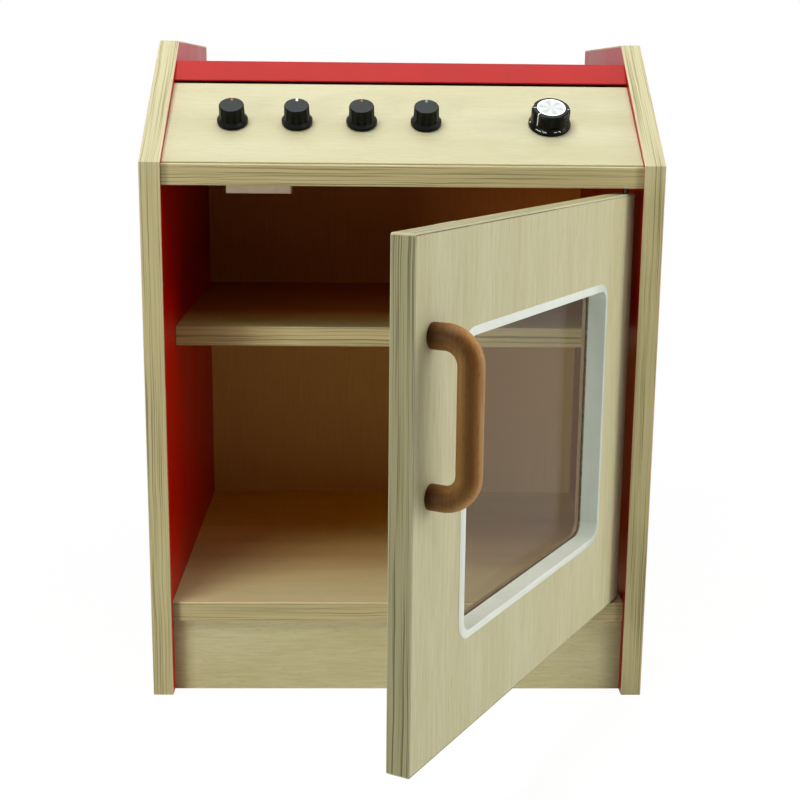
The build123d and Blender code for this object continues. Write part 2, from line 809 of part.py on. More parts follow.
with BuildPart() as strike_screw:
    with Locations(*on_door(door_in - strike_thickness, [strike_place], -1)):
        countersunk_screw(
            small_screw_radius,
            strike_head_radius,
            strike_thickness + strike_screw_grip,
        )
keep(strike_screw, "strike_screw")

# --- knobs ---------------------------------------------------------------------------------
off_panel = Axis((0, 0, 0), panel_plane.z_dir)
flange_face = board + flange_thickness
knob_crown = knob_clearance + knob_height
knob_waist = knob_clearance + knob_foot
timer_crown = knob_clearance + timer_height
timer_waist = knob_clearance + timer_foot


def turned(x, points):
    """A body turned about a knob's axis from (radius, height above the panel) points."""
    base = knob_plane(x)
    section = Plane(origin=base.origin, x_dir=base.x_dir, z_dir=base.x_dir.cross(base.z_dir))
    with BuildSketch(section) as profile:
        with BuildLine():
            Polyline(*points, close=True)
        make_face()
    revolve(profile.sketch, Axis(base.origin, base.z_dir))


def bore_knob(x):
    """The blind bore in a knob's underside for its spindle."""
    with Locations(Plane(origin=knob_plane(x, knob_clearance).origin, z_dir=-panel_plane.z_dir)):
        Hole(spindle_radius + fit_clearance, spindle_in_knob + fit_clearance)


with BuildPart() as spindle_bushes:
    with Locations(*[knob_plane(x) for x in knob_xs]):
        Cylinder(spindle_bush_radius, flange_face, align=sunk)
    with Locations(*[knob_plane(x, -board) for x in knob_xs]):
        Cylinder(flange_radius, flange_thickness, align=sunk)
    with Locations(*[knob_plane(x) for x in knob_xs]):
        Hole(spindle_radius + running_clearance, flange_face)
keep(spindle_bushes, "spindle_bushes")

for number, x in enumerate(knob_xs, 1):
    name = f"spindle_{number}" if x in knob_places else "timer_spindle"
    with BuildPart() as spindle:
        with Locations(knob_plane(x, knob_clearance + spindle_in_knob)):
            Cylinder(
                spindle_radius,
                spindle_in_knob + knob_clearance + flange_face + spindle_tail,
                align=sunk,
            )
        with Locations(knob_plane(x, -flange_face - shoulder_clearance)):
            Cylinder(shoulder_radius, shoulder_length, align=sunk)
    keep(spindle, name)

def knob_blank(x):
    """A small knob before its flutes and its pointer slot are cut."""
    turned(
        x,
        [
            (0, knob_clearance),
            (knob_skirt_radius, knob_clearance),
            (knob_skirt_radius, knob_clearance + knob_rim),
            (knob_body_radius, knob_waist),
            (knob_top_radius, knob_crown),
            (0, knob_crown),
        ],
    )
    fillet(edges().filter_by(GeomType.CIRCLE).sort_by(off_panel)[-1], knob_rounding)


def pointer_block(x, mode):
    """The upright slot at a small knob's rim that holds its pointer."""
    with BuildSketch(knob_plane(x, knob_waist + pointer_width / 2)) as slot:
        with Locations((0, (pointer_inner + knob_body_radius) / 2)):
            Rectangle(pointer_width, knob_body_radius - pointer_inner)
    extrude(slot.sketch, amount=knob_height, mode=mode)


for number, x in enumerate(knob_places, 1):
    with BuildPart() as knob:
        knob_blank(x)
        with BuildSketch(knob_plane(x, knob_waist)):
            with PolarLocations(knob_body_radius, knob_flutes, start_angle=90 + 180 / knob_flutes):
                Circle(flute_radius)
        extrude(amount=knob_height, mode=Mode.SUBTRACT)
        pointer_block(x, Mode.SUBTRACT)
        bore_knob(x)
    keep(knob, f"knob_{number}")

    with BuildPart() as pointer:
        knob_blank(x)
        pointer_block(x, Mode.INTERSECT)
    keep(pointer, f"pointer_{number}")

line_turn = math.radians(90 + timer_line_turn)
line_middle = (cap_radius + timer_body_radius) / 2
line_length = timer_body_radius - cap_radius


def timer_blank():
    """The large knob before its pointer line is let in."""
    seat = timer_crown - cap_thickness + cap_proud
    turned(
        timer_place,
        [
            (0, knob_clearance),
            (timer_skirt_radius, knob_clearance),
            (timer_skirt_radius, knob_clearance + timer_rim),
            (timer_body_radius, timer_waist),
            (timer_body_radius, timer_crown),
            (cap_radius + fit_clearance, timer_crown),
            (cap_radius + fit_clearance, seat),
            (0, seat),
        ],
    )
    crown_edges = edges().filter_by(GeomType.CIRCLE).group_by(off_panel)[-1]
    fillet(crown_edges.sort_by(SortBy.RADIUS)[-1], timer_rounding)
    with BuildSketch(knob_plane(timer_place, timer_waist)) as scallops:
        with PolarLocations(
            timer_body_radius + scallop_radius - scallop_depth,
            timer_scallops,
            start_angle=90 + timer_line_turn,
        ):
            Circle(scallop_radius)
    extrude(scallops.sketch, amount=timer_height, mode=Mode.SUBTRACT)


def timer_line_block(mode):
    """The upright slot at the large knob's rim that holds the pointer line."""
    with BuildSketch(knob_plane(timer_place, timer_waist)) as slot:
        with Locations((line_middle * math.cos(line_turn), line_middle * math.sin(line_turn))):
            Rectangle(line_length, timer_line_width, rotation=math.degrees(line_turn))
    extrude(slot.sketch, amount=timer_height, mode=mode)


with BuildPart() as timer_knob:
    timer_blank()
    timer_line_block(Mode.SUBTRACT)
    bore_knob(timer_place)
keep(timer_knob, "timer_knob")

with BuildPart() as timer_line:
    timer_blank()
    timer_line_block(Mode.INTERSECT)
keep(timer_line, "timer_line")

with BuildPart() as timer_cap:
    with Locations(knob_plane(timer_place, timer_crown + cap_proud)):
        Cylinder(cap_radius, cap_thickness, align=sunk)
        Cylinder(cap_radius - cap_rim, cap_dish, align=sunk, mode=Mode.SUBTRACT)
    ring_edges = timer_cap.edges().filter_by(GeomType.CIRCLE).group_by(off_panel)[-1]
    fillet(ring_edges, cap_rounding)
keep(timer_cap, "timer_cap")
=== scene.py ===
# %% [markdown]
# # A toy oven in printed foil, red melamine and stained beech
# The frame already holds every board, pin and screw at its real size and place. This
# lesson gives each of them the finish of the real piece, adds the small printed marks of
# the timer dial, and sets up the floor, the lamps and the camera.

# %% Load the frame
import json
import math

import bmesh
import bpy
from mathutils import Matrix, Vector


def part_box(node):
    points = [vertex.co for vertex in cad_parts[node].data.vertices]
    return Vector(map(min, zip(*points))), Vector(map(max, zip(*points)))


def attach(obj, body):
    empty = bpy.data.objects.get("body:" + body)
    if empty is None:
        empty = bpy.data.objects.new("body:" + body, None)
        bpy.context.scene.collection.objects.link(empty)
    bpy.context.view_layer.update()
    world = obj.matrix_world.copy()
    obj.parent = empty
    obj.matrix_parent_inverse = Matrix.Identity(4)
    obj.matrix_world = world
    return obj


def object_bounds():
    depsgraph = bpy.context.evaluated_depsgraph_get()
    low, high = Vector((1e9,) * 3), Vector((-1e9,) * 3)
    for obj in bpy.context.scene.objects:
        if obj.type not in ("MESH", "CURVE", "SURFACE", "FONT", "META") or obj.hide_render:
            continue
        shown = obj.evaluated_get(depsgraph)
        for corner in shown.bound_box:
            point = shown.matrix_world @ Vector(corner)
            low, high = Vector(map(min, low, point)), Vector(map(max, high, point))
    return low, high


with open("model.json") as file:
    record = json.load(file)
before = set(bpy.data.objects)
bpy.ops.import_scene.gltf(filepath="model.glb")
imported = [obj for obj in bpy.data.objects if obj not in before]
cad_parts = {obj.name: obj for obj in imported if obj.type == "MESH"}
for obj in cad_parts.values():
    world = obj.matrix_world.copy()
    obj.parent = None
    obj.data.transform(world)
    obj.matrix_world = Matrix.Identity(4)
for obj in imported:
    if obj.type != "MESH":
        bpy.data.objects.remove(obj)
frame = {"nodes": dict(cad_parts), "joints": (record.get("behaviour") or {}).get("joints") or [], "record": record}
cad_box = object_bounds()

nodes = frame["nodes"]
print("nodes:", len(nodes), "box:", [[round(v, 4) for v in corner] for corner in cad_box])

# %% [markdown]
# ## Colours in linear light
# A paint chart gives colours as sRGB hex, and shaders want linear light. Each colour could
# be converted by hand, but one function keeps the chart's values readable in the recipes.

# %% Convert a colour
MM = 0.001


def linear(hex_colour):
    """An sRGB hex colour as linear red, green, blue and alpha."""
    channels = [int(hex_colour[i : i + 2], 16) / 255 for i in (1, 3, 5)]
    return [c / 12.92 if c <= 0.04045 else ((c + 0.055) / 1.055) ** 2.4 for c in channels] + [1.0]


print("mid grey in linear light:", round(linear("#808080")[0], 3))

# %% [markdown]
# ## One helper for every node
# A material is a tree of nodes. It could be wired by hand in the Shader Editor, where it
# is hard to read back. Here one function adds a node, sets it up and links it, so that a
# material below reads from top to bottom like a recipe.

# %% Add a node, start a material
MULTIPLY = {"data_type": "RGBA", "blend_type": "MULTIPLY"}
BLEND = {"data_type": "RGBA"}
DOT = {"operation": "DOT_PRODUCT"}


def add(tree, kind, settings=(), sockets=(), stops=()):
    """One node with its properties, its inputs (a value, or an output to link) and a ramp's stops."""
    made = tree.nodes.new("ShaderNode" + kind)
    for name, value in dict(settings).items():
        setattr(made, name, value)
    for name, value in dict(sockets).items():
        if isinstance(value, bpy.types.NodeSocket):
            tree.links.new(value, made.inputs[name])
        else:
            made.inputs[name].default_value = value
    if stops:
        elements = made.color_ramp.elements
        while len(elements) < len(stops):
            elements.new(0.5)
        for element, (position, colour) in zip(elements, stops):
            element.position = position
            element.color = linear(colour)
    return made


def blank(name):
    """A new material and its empty tree, ready for its nodes."""
    made = bpy.data.materials.new(name)
    made.use_nodes = True
    made.node_tree.nodes.clear()
    return made, made.node_tree


print("mix recipes:", MULTIPLY, BLEND)

# %% [markdown]
# ## Grain that runs one way
# Wood grain is noise pulled out along one direction. The object's own coordinates are in
# metres, so the pull is given in real millimetres: how far apart the streaks lie and how
# long they are. Scaling by a Mapping node only works along X, Y and Z, and the door stands
# at an angle, so the stretch is worked out along any direction with a dot product.

# %% Stretch the coordinates along a direction
def pulled(tree, along, wide_mm, long_mm):
    """Object coordinates where one unit is wide_mm across the direction and long_mm along it."""
    place = add(tree, "TexCoord").outputs["Object"]
    across, lengthwise = 1 / (wide_mm * MM), 1 / (long_mm * MM)
    distance = add(tree, "VectorMath", DOT, {0: place, 1: along}).outputs["Value"]
    shift = add(tree, "Math", {"operation": "MULTIPLY"}, {0: distance, 1: lengthwise - across})
    carry = add(tree, "VectorMath", {"operation": "SCALE"}, {0: along, "Scale": shift.outputs[0]})
    spread = add(tree, "VectorMath", {"operation": "SCALE"}, {0: place, "Scale": across})
    total = add(tree, "VectorMath", {"operation": "ADD"}, {0: spread.outputs[0], 1: carry.outputs[0]})
    return total.outputs[0]


print("a streak 2 mm wide fits", round(1 / (2 * MM)), "times into a metre")


# %% [markdown]
# ## The directions of this cabinet
# Each board has a face direction and a grain direction. They could be read off each mesh,
# but only two things are out of square: the door hangs open, so its two level directions
# are turned by sixty degrees, and the control panel leans back. The joints know both.

# %% Name the directions
X, Y, Z = (1, 0, 0), (0, 1, 0), (0, 0, 1)
hinge = next(joint for joint in frame["joints"] if joint["name"] == "door_hinge")
door_open = -math.radians(hinge["range_deg"][0])
door_out = (math.sin(door_open), -math.cos(door_open), 0)
door_along = (math.cos(door_open), math.sin(door_open), 0)
dial = next(joint for joint in frame["joints"] if joint["name"] == "dial_timer_turn")
panel_out = tuple(dial["axis"])
panel_up = (0, panel_out[2], -panel_out[1])
print("door open", round(math.degrees(door_open), 1), "panel normal", panel_out)

# %% [markdown]
# ## Shade that gathers inside
# Deep in the cabinet the boards look darker and warmer than their foil, because light gets
# there only after it has bounced off the red walls. A whole room and many more bounces
# could bring that out. A tint that follows the place on the piece is simpler, moves with
# the piece, and looks the same from every side. It is a colour to multiply with, so white
# leaves the finish as it is.

# %% Tint along a direction
CABINET_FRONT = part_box("side_edge_band_left")[0][1]
DEPTH = (Y, CABINET_FRONT, cad_box[1][1])
HEIGHT = (Z, cad_box[0][2], cad_box[1][2])
WIDTH = (X, cad_box[0][0], cad_box[1][0])
WHITE = "#ffffff"


def tint_along(direction, low, high, stops):
    """A tint that changes along a direction between two distances, to be built in any tree."""

    def tint(tree):
        place = add(tree, "TexCoord").outputs["Object"]
        distance = add(tree, "VectorMath", DOT, {0: place, 1: direction}).outputs["Value"]
        share = add(tree, "MapRange", (), {0: distance, 1: low, 2: high}).outputs[0]
        return add(tree, "ValToRGB", (), {"Fac": share}, stops).outputs["Color"]

    return tint


def tinted(tree, colour, tint):
    """A colour under a tint, or as it is where there is no tint."""
    if tint is None:
        return colour
    return add(tree, "Mix", MULTIPLY, {0: 1.0, 6: colour, 7: tint(tree)}).outputs[2]


print("cabinet front at", round(CABINET_FRONT, 4), "back at", round(cad_box[1][1], 4))

# %% [markdown]
# ## Printed melamine foil
# The cream faces are pressed under a melamine foil that is printed with a pale, fine
# grain. To the eye that is a satin sheet: thin streaks a shade darker and lighter than the
# ground, wide clouds, and a few short pores. A scanned foil could be laid on as a picture,
# but noise needs no unwrapping and never repeats.

# %% Print the foil
# The real streaks are 0.3 to 1 mm wide, and the pores finer still. Both are drawn coarser
# here, so that they show at the width of the whole oven.
STREAK_MM = 1.9
PORE_MM = 1.1
CLOUD_MM = (30, 190)
PRINT_STEPS = (0.32, 0.5, 0.68)


def foil_print(tree, grain, long_mm, tones):
    """The printed grain along `grain`: how raised it is, and its colour."""
    streak, ground, light, pore = tones
    along = pulled(tree, grain, STREAK_MM, long_mm)
    fine = add(tree, "TexNoise", (), {"Vector": along, "Scale": 1.0, "Detail": 3.0}).outputs["Fac"]
    tones_up = list(zip(PRINT_STEPS, (streak, ground, light)))
    streaks = add(tree, "ValToRGB", (), {"Fac": fine}, tones_up).outputs["Color"]
    wide = pulled(tree, grain, *CLOUD_MM)
    cloud = add(tree, "TexNoise", (), {"Vector": wide, "Scale": 1.0, "Detail": 2.0}).outputs["Fac"]
    clouds = [(0.3, "#f4f2ea"), (0.7, WHITE)]
    drift = add(tree, "ValToRGB", (), {"Fac": cloud}, clouds).outputs["Color"]
    toned = add(tree, "Mix", MULTIPLY, {0: 1.0, 6: streaks, 7: drift}).outputs[2]
    short = pulled(tree, grain, PORE_MM, long_mm / 3)
    dashes = add(tree, "TexNoise", (), {"Vector": short, "Scale": 1.0, "Detail": 1.0}).outputs["Fac"]
    pores = add(tree, "MapRange", (), {0: dashes, 1: 0.6, 2: 0.74, 3: 0.0, 4: 0.55}).outputs[0]
    return fine, add(tree, "Mix", BLEND, {0: pores, 6: toned, 7: linear(pore)}).outputs[2]


print("foil: streaks", STREAK_MM, "mm wide, pores", PORE_MM, "mm, clouds", CLOUD_MM, "mm")

# %% [markdown]
# ## Raw chips where no foil lies
# The boards are chips and glue pressed together. Where an edge carries no strip, at the
# back and underneath, the sawn chips show, which to the eye are crumbs of three browns. A
# noise would blur them together. The cells of a Voronoi texture are crumbs already, each
# with one colour of its own.

# %% Saw the chips
CHIP_MM = (1.6, 3.0)
RAW_CHIPS = ("#7d5f3a", "#a98a5e", "#c8ac7e")


def sawn_edge(tree, tones):
    """Crumbs of three tones."""
    chips = add(tree, "TexVoronoi", (), {"Vector": pulled(tree, X, *CHIP_MM), "Scale": 1.0})
    crumbs = add(tree, "SeparateColor", (), {0: chips.outputs["Color"]}).outputs[0]
    tones_up = list(zip((0.1, 0.5, 0.9), tones))
    return add(tree, "ValToRGB", (), {"Fac": crumbs}, tones_up).outputs["Color"]


def on_faces(tree, face):
    """1 on the two faces across a direction, 0 on the edges between them."""
    normal = add(tree, "TexCoord").outputs["Normal"]
    facing = add(tree, "VectorMath", DOT, {0: normal, 1: face}).outputs["Value"]
    turned = add(tree, "Math", {"operation": "ABSOLUTE"}, {0: facing}).outputs[0]
    return add(tree, "Math", {"operation": "GREATER_THAN"}, {0: turned, 1: 0.7}).outputs[0]


print("chips:", CHIP_MM, "mm")

# %% [markdown]
# ## A foil-faced board
# Foil and chips meet in one material, which looks at the board's own normal to tell a face
# from an edge. Two materials on each board would do the same with more slots. The press
# leaves hardly any relief, and a sheen that is a little duller on the raised streaks.


# %% Press the foil on a board
def foil_board(name, face, grain, long_mm, tones, tint=None, edge=RAW_CHIPS):
    """Foil on the faces across `face`, streaks `long_mm` long along `grain`, and chips on the edges."""
    made, tree = blank(name)
    fine, print_layer = foil_print(tree, grain, long_mm, tones)
    printed, raw = tinted(tree, print_layer, tint), sawn_edge(tree, edge)
    colour = add(tree, "Mix", BLEND, {0: on_faces(tree, face), 6: raw, 7: printed}).outputs[2]
    pressed = {"Strength": 0.2, "Distance": 0.06 * MM, "Height": fine}
    relief = add(tree, "Bump", (), pressed).outputs[0]
    gloss = add(tree, "MapRange", (), {0: fine, 1: 0.3, 2: 0.7, 3: 0.50, 4: 0.60}).outputs[0]
    satin = {"IOR": 1.45, "Specular IOR Level": 0.25}
    varied = {"Base Color": colour, "Roughness": gloss, "Normal": relief}
    body = add(tree, "BsdfPrincipled", (), {**satin, **varied})
    add(tree, "OutputMaterial", (), {"Surface": body.outputs[0]})
    return made


CREAM = ("#c6c097", "#cbc6a0", "#d1cca8", "#b2aa84")
foil_side = foil_board("melamine_foil_side", X, Z, 60, CREAM)
foil_door = foil_board("melamine_foil_door", door_out, Z, 42, CREAM)
foil_level = foil_board("melamine_foil_level", Z, X, 25, CREAM)
print("foils:", [foil.name for foil in (foil_side, foil_door, foil_level)])

# %% [markdown]
# ## Foils that differ from board to board
# Streak, ground, light and pore are the four tones of the print. The same foil gets tones
# of its own on some boards: on the plinth a buff that is painted shade under the floor's
# edge, on the floor a paler ground that leaves room for its painted light and shade, and on
# the control panel a softer print with a wrapped edge. The floor takes a tint of painted
# shade and warm bounced light over its depth, the shelf one of painted shade that grows
# darker and more orange towards the back, and the plinth painted shadows at its two ends.

# %% Tone the foil of four boards
SHADED_BUFF = ("#c6bd90", "#cbc397", "#d0c99f", "#b3a97e")
PALE = ("#ebe5b8", "#efe9bc", "#f2edc2", "#d8cda0")
SOFT = ("#c9c4a0", "#cbc7a4", "#cecaa8", "#bdb692")
WRAPPED = ("#b5b08c", "#bbb692", "#c1bc98")
# Painted shade and warm bounced light over the floor's depth.
FLOOR_STOPS = [
    (0.08, "#dad1c7"), (0.21, "#dfd1bc"), (0.38, "#d4b897"),
    (0.55, "#f9dda2"), (0.75, "#fcea6f"), (0.91, "#fff361"),
]
# Painted shade over the shelf's depth, darker and more orange towards the back.
SHELF_STOPS = [
    (0.2, "#fff3da"), (0.28, "#ffe1ad"), (0.38, "#ffbc7c"),
    (0.46, "#ea893f"), (0.9, "#ed7c2c"),
]
# Painted shadows at the plinth's two ends, beside the side boards.
PLINTH_STOPS = [(0.045, "#cbc8c4"), (0.085, WHITE), (0.915, WHITE), (0.955, "#cbc8c4")]
foil_floor = foil_board("melamine_foil_floor", Z, X, 30, PALE, tint_along(*DEPTH, FLOOR_STOPS))
foil_shelf = foil_board("melamine_foil_shelf", Z, X, 30, CREAM, tint_along(*DEPTH, SHELF_STOPS))
foil_plinth = foil_board("melamine_foil_plinth", Y, X, 22, SHADED_BUFF, tint_along(*WIDTH, PLINTH_STOPS))
foil_panel = foil_board("melamine_foil_panel", panel_out, X, 20, SOFT, edge=WRAPPED)
print("foils:", [foil.name for foil in (foil_floor, foil_shelf, foil_plinth, foil_panel)])

# %% [markdown]
# ## The rounded arris
# The visible edges carry a plastic strip, rounded over with a cutter. A pale line runs
# along each arris: partly where the cutter went through the print, and partly a painted
# highlight where the rounding catches the light, pink on the side strips as a painted
# reflection of the red walls. The line could be drawn along every edge, but the strip's
# own normal tells where it is rounded: there it faces none of the flat directions.

# %% Find the rounding
FLAT_DIRECTIONS = (X, Y, Z, panel_out, panel_up, door_out, door_along)


def rounding(tree):
    """0 on the flats of a strip, up to 0.75 where the cutter rounded it."""
    normal = add(tree, "TexCoord").outputs["Normal"]
    flat = 0.0
    for direction in FLAT_DIRECTIONS:
        facing = add(tree, "VectorMath", DOT, {0: normal, 1: direction}).outputs["Value"]
        turned = add(tree, "Math", {"operation": "ABSOLUTE"}, {0: facing}).outputs[0]
        flat = add(tree, "Math", {"operation": "MAXIMUM"}, {0: flat, 1: turned}).outputs[0]
    return add(tree, "MapRange", (), {0: flat, 1: 0.995, 2: 0.97, 3: 0.0, 4: 0.75}).outputs[0]


print("flat directions:", len(FLAT_DIRECTIONS))

# %% [markdown]
# ## ABS edge strip
# The strip is extruded ABS, printed with a coarser, wavier grain than the foil and a
# shade greyer. To the eye it is satin, with lines that sway together. A wave texture has
# lines of one width, too even for wood. Pulled noise has uneven ones, and shifting it
# aside by a second, wider noise makes them sway.

# %% Print the edge strip
# The real printed lines are a few tenths of a millimetre wide. The noise that draws them
# has a step of 0.8 mm across the lines, so that they show.
STRIP_LINE_MM = 0.8
STRIP_LONG_MM = 150
SWAY_PER_METRE = 22.0
SWAY_LINES = 2.4


def edge_strip(name, across, tones, pale, tint=None):
    """Wavy lines over the strip's width, along `across`; pale where the cutter rounded it, partly as a painted
    highlight.
    """
    line, shade, ground, light = tones
    made, tree = blank(name)
    place = add(tree, "TexCoord").outputs["Object"]
    sway = add(tree, "TexNoise", (), {"Vector": place, "Scale": SWAY_PER_METRE, "Detail": 1.0})
    centred = add(tree, "Math", {"operation": "SUBTRACT"}, {0: sway.outputs["Fac"], 1: 0.5})
    aside = add(tree, "VectorMath", {"operation": "SCALE"}, {0: across, "Scale": centred.outputs[0]})
    steps = add(tree, "VectorMath", {"operation": "SCALE"}, {0: aside.outputs[0], "Scale": SWAY_LINES})
    straight = pulled(tree, across, STRIP_LONG_MM, STRIP_LINE_MM)
    swaying = add(tree, "VectorMath", {"operation": "ADD"}, {0: straight, 1: steps.outputs[0]})
    grain = add(tree, "TexNoise", (), {"Vector": swaying.outputs[0], "Scale": 1.0, "Detail": 2.0})
    lines = grain.outputs["Fac"]
    stops = [(0.36, line), (0.42, shade), (0.47, ground), (0.64, light)]
    wavy = add(tree, "ValToRGB", (), {"Fac": lines}, stops).outputs["Color"]
    colour = add(tree, "Mix", BLEND, {0: rounding(tree), 6: wavy, 7: linear(pale)}).outputs[2]
    embossed = {"Strength": 0.25, "Distance": 0.06 * MM, "Height": lines}
    relief = add(tree, "Bump", (), embossed).outputs[0]
    satin = {"IOR": 1.48, "Roughness": 0.45, "Specular IOR Level": 0.25}
    varied = {"Base Color": tinted(tree, colour, tint), "Normal": relief}
    body = add(tree, "BsdfPrincipled", (), {**satin, **varied})
    add(tree, "OutputMaterial", (), {"Surface": body.outputs[0]})
    return made


print("strip: lines every", STRIP_LINE_MM, "mm,", STRIP_LONG_MM, "mm long")

# %% [markdown]
# ## Four strips from one print
# The strips differ in tone as the boards do: the four tones are lit and shaded copies of
# one strip, painted lighter or darker for the light that reaches each edge. The upright
# parts of the side strips take a faint painted shade below the leaning parts, the level
# strips painted shadows where they meet the side boards, and the shelf's strip a painted
# shadow at its left end.

# %% Make the strip of each edge
# Lit and shaded copies of one strip: the level, shelf and door tones are painted light and shade.
STRIP = ("#8d8661", "#aca57b", "#beb78d", "#c8c19a")
STRIP_LEVEL = ("#897e54", "#a79a6c", "#b9ac7b", "#c3b587")
STRIP_SHELF = ("#9a8e5f", "#bcae79", "#d0c18a", "#dbcc97")
STRIP_DOOR = ("#66613f", "#7c764f", "#99936b", "#a29d75")
# Painted shade on the upright parts of the side strips, and painted shadows at the ends of the level and shelf
# strips.
upright_shade = tint_along(*HEIGHT, [(0.79, "#fcf7ea"), (0.84, WHITE)])
end_shadows = tint_along(*WIDTH, [(0.05, "#cbc8c4"), (0.058, WHITE), (0.94, WHITE), (0.95, "#dad4cb")])
shelf_end_shadow = tint_along(*WIDTH, [(0.17, "#cbbcad"), (0.28, WHITE)])
# The side strips' pinkish arris is a painted reflection of the red walls.
strip_side = edge_strip("abs_strip_side", X, STRIP, "#e4c8b0", upright_shade)
strip_door = edge_strip("abs_strip_door", door_out, STRIP_DOOR, "#c4be9c")
strip_level = edge_strip("abs_strip_level", Z, STRIP_LEVEL, "#dccba6", end_shadows)
strip_shelf = edge_strip("abs_strip_shelf", Z, STRIP_SHELF, "#e2cfac", shelf_end_shadow)
print("strips:", [strip.name for strip in (strip_side, strip_door, strip_level, strip_shelf)])

# %% [markdown]
# ## Red melamine
# The inner sides and the cover are faced with a plain red melamine sheet, pressed against
# a satin plate. To the eye it is an even red with a soft sheen, broken up by a very fine
# orange peel. It is a deep red inside, with painted shade on the upper part of the sheets
# and a darker painted shade on the right wall behind the open door. The cover is a
# lighter, bluer red, which is a painted sheen of the bright room. A gloss as strong as a
# real sheet's would turn it milky in an all-white room, so the specular level is kept low.

# %% Press the red sheet
# Real orange peel is a few tenths of a millimetre apart. It is drawn at 1.4 mm to show.
PEEL_MM = 1.4
RED_CLOUD_MM = (45, 90)


def red_melamine(name, colour, deep, tint=None):
    """Satin red sheet with a slight drift in tone and a fine orange peel."""
    made, tree = blank(name)
    wide = pulled(tree, Z, *RED_CLOUD_MM)
    cloud = add(tree, "TexNoise", (), {"Vector": wide, "Scale": 1.0, "Detail": 2.0}).outputs["Fac"]
    drift = add(tree, "ValToRGB", (), {"Fac": cloud}, [(0.35, deep), (0.65, colour)]).outputs["Color"]
    close = pulled(tree, Z, PEEL_MM, PEEL_MM)
    peel = add(tree, "TexNoise", (), {"Vector": close, "Scale": 1.0, "Detail": 2.0}).outputs["Fac"]
    pimpled = {"Strength": 0.12, "Distance": 0.05 * MM, "Height": peel}
    relief = add(tree, "Bump", (), pimpled).outputs[0]
    gloss = add(tree, "MapRange", (), {0: cloud, 1: 0.3, 2: 0.7, 3: 0.30, 4: 0.36}).outputs[0]
    satin = {"IOR": 1.45, "Specular IOR Level": 0.1}
    varied = {"Base Color": tinted(tree, drift, tint), "Roughness": gloss, "Normal": relief}
    body = add(tree, "BsdfPrincipled", (), {**satin, **varied})
    add(tree, "OutputMaterial", (), {"Surface": body.outputs[0]})
    return made


# Painted shade: the upper part of the sheets darker, and the right wall darker still, most of all below the cover.
upper_shade = tint_along(*HEIGHT, [(0.55, WHITE), (0.65, "#d0d0d0")])
right_wall_shade = tint_along(*HEIGHT, [(0.78, "#ada39a"), (0.8, "#d0d0d0")])
red_sheet = red_melamine("red_melamine_sheet", "#d80a04", "#ce0903", upper_shade)
red_shaded = red_melamine("red_melamine_shaded", "#d80a04", "#ce0903", right_wall_shade)
# The cover's lighter, bluer red is a painted sheen of the bright room.
red_cover = red_melamine("red_melamine_cover", "#b42825", "#ad2522")
print("reds:", [red.name for red in (red_sheet, red_shaded, red_cover)])

# %% [markdown]
# ## Printed hardboard
# The back is thin fibre board with a tan foil in front and bare brown fibre behind. To the
# eye both sides are matt with a faint upright grain. It could be two pieces, but one
# material that looks at the sheet's normal keeps the board whole.

# %% Print one side of the hardboard
# Single fibres are a few hundredths of a millimetre wide. Bundles of 1.6 mm are drawn.
FIBRE_MM = (1.6, 40)
TAN = ("#d4b360", "#d8b866", "#dcbd6b")
FIBRE = ("#6e4c2a", "#7b5732", "#88633b")


def hardboard(name, tint):
    """Back panel: tan foil on the side that faces the front, bare brown fibre behind."""
    made, tree = blank(name)
    upright = pulled(tree, Z, *FIBRE_MM)
    fibre = add(tree, "TexNoise", (), {"Vector": upright, "Scale": 1.0, "Detail": 3.0}).outputs["Fac"]
    tan_up, bare_up = list(zip(PRINT_STEPS, TAN)), list(zip(PRINT_STEPS, FIBRE))
    tan = add(tree, "ValToRGB", (), {"Fac": fibre}, tan_up).outputs["Color"]
    bare = add(tree, "ValToRGB", (), {"Fac": fibre}, bare_up).outputs["Color"]
    normal = add(tree, "TexCoord").outputs["Normal"]
    facing = add(tree, "SeparateXYZ", (), {0: normal}).outputs["Y"]
    behind = add(tree, "Math", {"operation": "GREATER_THAN"}, {0: facing, 1: -0.5}).outputs[0]
    colour = add(tree, "Mix", BLEND, {0: behind, 6: tinted(tree, tan, tint), 7: bare}).outputs[2]
    felted = {"Strength": 0.25, "Distance": 0.06 * MM, "Height": fibre}
    relief = add(tree, "Bump", (), felted).outputs[0]
    matt = {"IOR": 1.48, "Roughness": 0.6, "Specular IOR Level": 0.3}
    body = add(tree, "BsdfPrincipled", (), {**matt, "Base Color": colour, "Normal": relief})
    add(tree, "OutputMaterial", (), {"Surface": body.outputs[0]})
    return made


# Painted shade and warm bounced light: above the shelf the tan front is darker and more orange.
BACK_STOPS = [(0.15, WHITE), (0.5, "#f8ecd0"), (0.57, "#dc9a50"), (0.8, "#dc924c")]
back_sheet = hardboard("printed_hardboard", tint_along(*HEIGHT, BACK_STOPS))
print("back:", back_sheet.name)

# %% [markdown]
# ## Moulded plastics
# The window frame, the catch, the screw caps, the bushes and the inlaid marks are moulded.
# A mould's spark-eroded skin leaves a very fine grit, so to the eye they are one even
# colour with a soft, slightly broken sheen. A flat colour could do for pieces this small,
# but it would look painted on, so each has a slight drift in pigment, gloss and relief.

# %% Mould the plastics
# Real grit is under a tenth of a millimetre. It is drawn at 0.8 mm so that it shows.
PIGMENT_MM = (14, 20)


